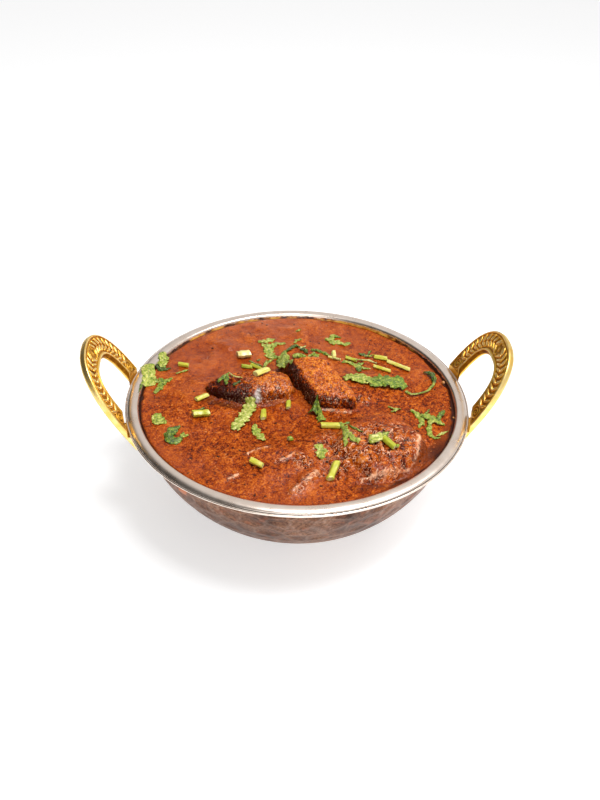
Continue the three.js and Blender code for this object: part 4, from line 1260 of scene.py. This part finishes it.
leaves = {  # the blades of every leaf: path in the picture, width, tone, teeth and what differs from the usual
    "leaf_over_lip": [
        ([(148, 363.6), (148.3, 369), (148.6, 375), (150.5, 385.5)], 6.8, 0.74, 1.4,
         {"start": 1, "end": 0.75, "fold": 0.1, "curl": 0.05, "depth": 0.12}),
        ([(152, 378), (158.6, 382)], 3, 0.7, 2), ([(143, 379), (139, 391)], 1.4, 0.4, 4)],
    "leaf_left_back": [
        ([(163.5, 351.3), (163.6, 358), (162.5, 367)], 5.6, 0.66, 3, {"start": 0.6, "end": 0.6, "lift": 0.5}),
        ([(156.5, 364), (162, 369), (171, 367.5)], 3.2, 0.12, 3)],
    "leaf_left_front": [
        ([(154, 392.5), (159.5, 387), (163.5, 382), (172, 377.3)], 4.2, 0.55, 4, {"end": 0.4}),
        ([(164, 384.5), (159, 377.3)], 3.2, 0.5, 2)],
    "leaf_left_fan": [
        ([(156, 424), (156.6, 413)], 4.6, 0.7, 1.5, {"end": 0.75, "depth": 0.2}),
        ([(156.5, 422), (163.5, 416.6)], 3.2, 0.66, 1.5, {"end": 0.7, "depth": 0.25}),
        ([(155, 422.6), (166.5, 421.3)], 3.4, 0.7, 2, {"end": 0.7, "depth": 0.3})],
    "leaf_left_curl": [
        ([(180, 425), (173.5, 428.5), (169.3, 432), (169.5, 437), (174, 439.4), (181.5, 436.8)], 5.2, 0.3, 5,
         {"fold": 0.8, "start": 0.25, "end": 0.5, "depth": 0.25}),
        ([(181, 437.5), (183.5, 431.5)], 2.4, 0.6, 2), ([(182.5, 436), (188.6, 434.3)], 2.2, 0.75, 2)],
    "leaf_on_back_mutton": [
        ([(217.3, 381, 5.2), (222, 376.5, 6), (228.5, 372, 6)], 3.6, 0.4, 3, {"fold": 0.5}),
        ([(227, 373.5, 6.2), (226, 384, 6.2)], 2.6, 0.3, 2),
        ([(233, 384.5, 6.8), (240.5, 380.3, 6.8)], 2, 0.25, 2),
        ([(228.5, 371.8, 6.2), (233.5, 375, 7), (242.6, 377.4, 7)], 0.8, 0.95, 1,
         {"depth": 0.05, "lift": 0.8, "curl": 0})],
    "leaf_top_1": [
        ([(258, 341), (264, 340.5), (270, 339.6), (275, 338.8)], 3.6, 0.72, 3),
        ([(262, 343.2), (267, 345), (272.5, 344)], 4.2, 0.74, 2),
        ([(272, 347.5), (276, 343), (285.5, 343)], 3.2, 0.6, 3)],
    "leaf_top_2": [
        ([(266, 345), (269, 350.5), (270.5, 358)], 6.2, 0.72, 3, {"end": 0.5}),
        ([(271, 356), (279.5, 356.8)], 3.4, 0.62, 2), ([(267, 359, 0.5), (263.5, 366.5, 0.5)], 1.8, 0.6, 1)],
    "leaf_top_3": [
        ([(284.5, 350, 0.6), (284, 357, 3), (282, 366, 6)], 6.6, 0.6, 4, {"end": 0.5}),
        ([(281, 355, 1), (277.6, 363, 1)], 3.2, 0.55, 2), ([(286, 358, 4), (291.5, 364, 8.6)], 3.6, 0.5, 2)],
    "leaf_top_4": [
        ([(285.5, 350.5), (289.5, 347.5), (295.5, 344.4), (300, 346.5)], 2.8, 0.08, 4, {"fold": 0.9}),
        ([(300, 348.5), (304.5, 348.2), (307.3, 352.4)], 2.8, 0.15, 3, {"fold": 0.7}),
        ([(298.5, 347.6), (306, 345.8)], 1, 1, 1, {"depth": 0.1})],
    "leaf_top_5": [
        ([(292.3, 354.8, 1), (298, 352.8, 1), (303, 354.2, 1), (307, 357, 1)], 4.2, 0.62, 3, {"fold": 0.6})],
    "leaf_top_6": [
        ([(311, 348.6, 0.5), (319, 349.6, 0.5), (330.5, 355.4, 0.5)], 2.9, 0.42, 3),
        ([(314, 351.5, 0.5), (317.5, 358.2, 0.5)], 4.4, 0.56, 2),
        ([(308, 356, 0.5), (314, 352, 0.5)], 1.8, 0.6, 2)],
    "leaf_back": [
        ([(325, 338.5), (331, 340), (334, 344.5)], 3.8, 0.7, 2),
        ([(330, 341), (333.5, 335.6), (341, 337.4)], 3.4, 0.62, 3),
        ([(333, 340), (341, 343), (350.5, 343)], 4, 0.7, 3)],
    "leaf_back_right": [
        ([(343, 360.3), (351, 362.5), (359, 366.5), (371, 368.5)], 3.6, 0.66, 4),
        ([(356, 364.5), (364, 361.8)], 2.4, 0.5, 2), ([(358, 366), (359.3, 371.6)], 3.4, 0.3, 2)],
    "leaf_right_long": [
        ([(348, 376), (356, 377.2), (366, 379), (376, 380.4)], 7.4, 0.68, 4,
         {"lift": 0.9, "curl": 0.8, "start": 0.5, "end": 0.8, "depth": 0.2}),
        ([(367, 379), (377, 380), (388, 380.2), (397, 382), (405.5, 388)], 9.8, 0.44, 5,
         {"lift": 1.4, "curl": 1.1, "start": 0.6, "end": 0.6, "depth": 0.26}),
        ([(345, 382, 1), (349.5, 376, 0.6)], 3.4, 0.66, 2, {"lift": 0.5}),
        ([(354, 374.5), (366, 376.5)], 3, 0.72, 3, {"lift": 0.8})],
    "sprig_right": [
        ([(405.5, 390.5), (412, 393.3), (420, 392.2), (428, 389.6), (433.3, 384.5), (434.6, 378)], 1.3, 0.62, 2,
         {"depth": 0.15, "lift": 1, "start": 1, "end": 0.7}),
        ([(434.6, 383), (433.8, 376), (430, 371.8), (423.4, 371.6)], 3.4, 0.16, 4, {"lift": 1.2, "fold": 0.6})],
    "leaf_edge_1": [
        ([(410.6, 409.4), (416, 412.5), (420.5, 418), (424, 425)], 3.4, 0.7, 3),
        ([(422.5, 420.5), (418.5, 427.5)], 2.2, 0.66, 2)],
    "leaf_edge_2": [
        ([(419, 414.5), (427, 415), (434, 419), (445, 424.6)], 5, 0.56, 4, {"lift": 0.8}),
        ([(435.5, 421), (439.5, 416), (444.6, 409.8)], 2.8, 0.34, 2, {"lift": 1.2}),
        ([(424.5, 415), (429.5, 409.3)], 1.5, 0.4, 1),
        ([(429, 425), (434.5, 417.5)], 3.4, 0.66, 2, {"lift": 0.8})],
    "leaf_edge_3": [
        ([(430, 423), (429.3, 431), (433, 436.5), (440.5, 437)], 3, 0.62, 4, {"start": 0.6}),
        ([(436.5, 435.4), (448.3, 430.6)], 1.6, 0.85, 2)],
    "leaf_folded": [
        ([(317, 396, 6.6), (315.2, 402.5, 4.4), (313, 410.5, 2.2)], 5, 0.34, 1,
         {"start": 0.04, "end": 1, "depth": 0.1, "spread": 1, "fold": 1.2}),
        ([(317.4, 396.6, 6.4), (319.6, 408, 3), (321.9, 420.4, 0.9)], 5.2, 0.5, 4,
         {"start": 0.06, "end": 1, "depth": 0.42, "spread": 1, "fold": 0.9})],
    "leaf_forked": [
        ([(339.5, 422.3), (343.5, 427.5), (346.5, 433)], 3, 0.62, 2, {"start": 0.7, "end": 0.8}),
        ([(344.6, 430.5), (345.8, 438), (344.6, 446)], 2.8, 0.62, 2),
        ([(346.5, 431.5), (352, 436.5), (359.8, 440.4)], 3, 0.66, 3, {"start": 0.5, "end": 0.85}),
        ([(342, 424.2), (350, 421.8)], 1.8, 0.5, 1),
        ([(349, 424.5), (356, 428.5), (363.5, 431)], 1.4, 0.35, 2)],
    "leaf_long_front": [
        ([(251.4, 396), (250, 405), (245.5, 413.5), (240, 420.5), (232, 429)], 7, 0.8, 6,
         {"start": 0.75, "end": 0.3, "depth": 0.36, "lift": 0.9}),
        ([(251, 402), (256, 397.5)], 1.8, 0.7, 1), ([(241, 421), (237.5, 430.4)], 2.4, 0.8, 2)],
    "leaf_front_slim": [
        ([(254.6, 423.8), (256.5, 431), (264, 440.2)], 4.8, 0.74, 3, {"start": 0.3, "end": 0.35})],
    "leaf_front_round": [
        ([(318.5, 444.2), (321, 450), (321.6, 458.2)], 5.2, 0.74, 2, {"start": 0.75}),
        ([(322, 448), (328.2, 451)], 3, 0.76, 2)],
    "leaf_bud": [
        ([(369, 434), (374.5, 434.4), (381.5, 432.6)], 5.4, 0.84, 2,
         {"fold": 2.0, "lift": 0.6, "curl": 0.2, "end": 0.6, "depth": 0.2}),
        ([(381, 434), (389, 431.2)], 3.4, 0.6, 2, {"fold": 0.7})],
}
stems = {  # ends in the picture, thickness, tone
    "stem_left_back": [([(178.4, 364), (188.6, 365.6)], 2.3, 0.72)],
    "stem_left": [([(196, 399.6), (207.6, 394.4)], 2.3, 0.76)],
    "stem_left_fat": [([(192.8, 413.6), (209, 412.4)], 3.4, 0.66)],
    "stem_back_cut": [([(237.6, 354.6), (249.8, 353.4)], 3.8, 0.98)],
    "stem_behind_mutton": [([(241.6, 366), (252, 367.4)], 2, 0.5), ([(251, 364.4), (261.5, 369.6)], 2, 0.6)],
    "stem_on_mutton": [([(255.4, 375.6, 7), (268, 370.6, 7)], 3, 0.84)],
    "stem_strip_1": [([(333.6, 351.4), (334.2, 358)], 2.2, 0.92), ([(328, 356.6), (340.6, 360)], 1.4, 0.92)],
    "stem_strip_2": [([(345.4, 357.6), (356.8, 360.4)], 1.9, 0.64)],
    "stem_back_right": [([(374, 356.6), (387.2, 359)], 2.3, 0.72)],
    "stem_right_1": [([(387, 361), (410, 369.6)], 2, 0.84)],
    "stem_right_2": [([(373.4, 366.4), (390.6, 372)], 2, 0.78)],
    "stem_middle": [([(320.8, 425.8), (339.4, 426)], 2.8, 0.72)],
    "stem_small": [([(263.6, 410), (263.2, 418.4)], 2.4, 0.66)],
    "stem_front": [([(250.6, 460), (262.6, 465.8)], 2.7, 0.8)],
    "stem_front_long": [([(336.6, 464.8), (330, 479.2)], 2.9, 0.68)],
    "stem_by_bud": [([(383.6, 437.4), (394.6, 448)], 2.8, 0.56), ([(396.4, 447.6), (397.8, 444.8)], 1.6, 0.3)],
}
scraps = {
    "leaves": [
        ([(296, 331), (300.5, 329)], 1.6, 0.6, 2), ([(294.5, 339.6), (301.6, 338.6)], 1.8, 0.62, 2),
        ([(294, 342.5), (297, 340.4)], 1.6, 0.66, 1), ([(358.5, 353), (366, 354.6)], 2.4, 0.2, 2),
        ([(366, 356), (371, 350.4)], 1.4, 0.3, 1), ([(364, 355.4), (374.5, 354.6)], 1.4, 0.62, 2),
        ([(388, 406), (395, 408), (401, 408.6)], 1.6, 0.74, 2), ([(391, 411.6), (398, 408.6)], 1.8, 0.82, 1),
        ([(176, 373), (188.4, 369.4)], 1.1, 0.7, 1, {"depth": 0.1}),
        ([(249, 360.6), (262.4, 366)], 1.1, 0.35, 1, {"depth": 0.1}),
        ([(273.6, 358.6), (268, 362), (263.2, 367.2)], 1.7, 0.66, 1),
        ([(198, 409.4), (205, 407.4)], 1.6, 0.3, 2), ([(256.6, 360), (260.4, 359)], 1.6, 0.35, 1),
        ([(355, 359), (366, 359.4), (377, 362.6)], 0.9, 1, 1, {"depth": 0.05}),
        ([(333, 357), (340, 358.4)], 1.2, 0.9, 1), ([(341.6, 362), (349, 361)], 1.6, 0.6, 2)],
    "stems": [([(288.4, 401.6), (288.2, 408)], 2.2, 0.6), ([(288.4, 439.6), (291.8, 439)], 2.3, 0.35)],
}


def garnish(name, parts, kind, nodes=()):  # blades or stems joined to one piece
    material, slot, sharp = kind
    pointLists, faceLists, uvs, tones, cuts = zip(*parts)
    faces, base = [], 0
    for partPoints, partFaces in zip(pointLists, faceLists):
        faces += [tuple(base + v for v in face) for face in partFaces]
        base += len(partPoints)
    points = np.vstack(pointLists)
    attributes = {"tone": np.concatenate(tones), "cut": np.concatenate(cuts)}
    newPiece(name, points, faces, material, nodes, attributes, np.vstack(uvs), sharp)
    return points, faces


# chopped coriander leaf: thin and wet, light green on its upper side, with paler veins
corianderLeaf, tree, shader, coordinates = newMaterial("fresh_coriander_leaf", "#86b347")
mottle = noise(tree, coordinates, 900, 3)
tone = maths(tree, "MULTIPLY_ADD", mottle, 1.7, attribute(tree, "tone"))
tint = ramp(tree, maths(tree, "SUBTRACT", tone, 0.93), [
    (0.05, "#284707"), (0.32, "#5e7e0b"), (0.6, "#9dab36"), (0.85, "#c9c868"), (1.0, "#e2de8c")])
uv = addNode(tree, "ShaderNodeUVMap", uv_map="UVMap").outputs[0]
fromRib = maths(tree, "ABSOLUTE", axisOf(tree, uv, "Y"))
rib = rescaled(tree, fromRib, high=0.03, toLow=1.0, toHigh=0.0)
slanted = maths(tree, "MULTIPLY_ADD", fromRib, -1.1, axisOf(tree, uv, "X"))
veins = maths(tree, "PINGPONG", slanted, 0.13)  # side veins 2.6 mm apart
veins = maths(tree, "MAXIMUM", rescaled(tree, veins, high=0.03, toLow=0.8, toHigh=0.0), rib)
tint = mixed(tree, product(tree, veins, 0.85), tint, "#dadc9a")
setInputs(tree, shader, {
    "Base Color": tint, "Roughness": 0.42,
    "Subsurface Weight": 0.08, "Subsurface Radius": (0.0006, 0.0012, 0.0003),
    "Normal": bumped(tree, maths(tree, "SUBTRACT", veins, mottle), 1.0, 0.0003, invert=True)})

# cut coriander stem: juicy and ribbed, yellow-green, pale where the knife went through
corianderStem, tree, shader, _ = newMaterial("cut_coriander_stem", "#b4cc55")
uv = addNode(tree, "ShaderNodeUVMap", uv_map="UVMap").outputs[0]
stripes = noise(tree, stretched(tree, uv, (0.4, 14, 1)), 1.0, 2)
tone = maths(tree, "MULTIPLY_ADD", stripes, 0.45, attribute(tree, "tone"))
tint = ramp(tree, maths(tree, "SUBTRACT", tone, 0.22), [
    (0.2, "#5f7c15"), (0.5, "#9fa827"), (0.75, "#c7c245"), (1.0, "#ece096")])
tint = mixed(tree, attribute(tree, "cut"), tint, "#cfd192")
setInputs(tree, shader, {
    "Base Color": tint, "Roughness": 0.28,
    "Subsurface Weight": 0.15, "Subsurface Radius": (0.0012, 0.0016, 0.0005),
    "Normal": bumped(tree, stripes, 0.3, 0.00015)})

leafKind = (corianderLeaf, "coriander_leaf", None)
stemKind = (corianderStem, "coriander_stem", 45)
for node, parts in stems.items():
    foodMeshes.append(garnish("dressed_" + node, [stemTube(*part) for part in parts], stemKind, [node]))
food = foodTree(foodMeshes)
for node, parts in leaves.items():
    garnish("dressed_" + node, [leafBlade(*part, seed=k) for k, part in enumerate(parts)], leafKind, [node])
garnish("chopped_leaf_scraps", [leafBlade(*part) for part in scraps["leaves"]], leafKind)
garnish("chopped_stem_scraps", [stemTube(*part, rings=10) for part in scraps["stems"]], stemKind)
print("coriander")
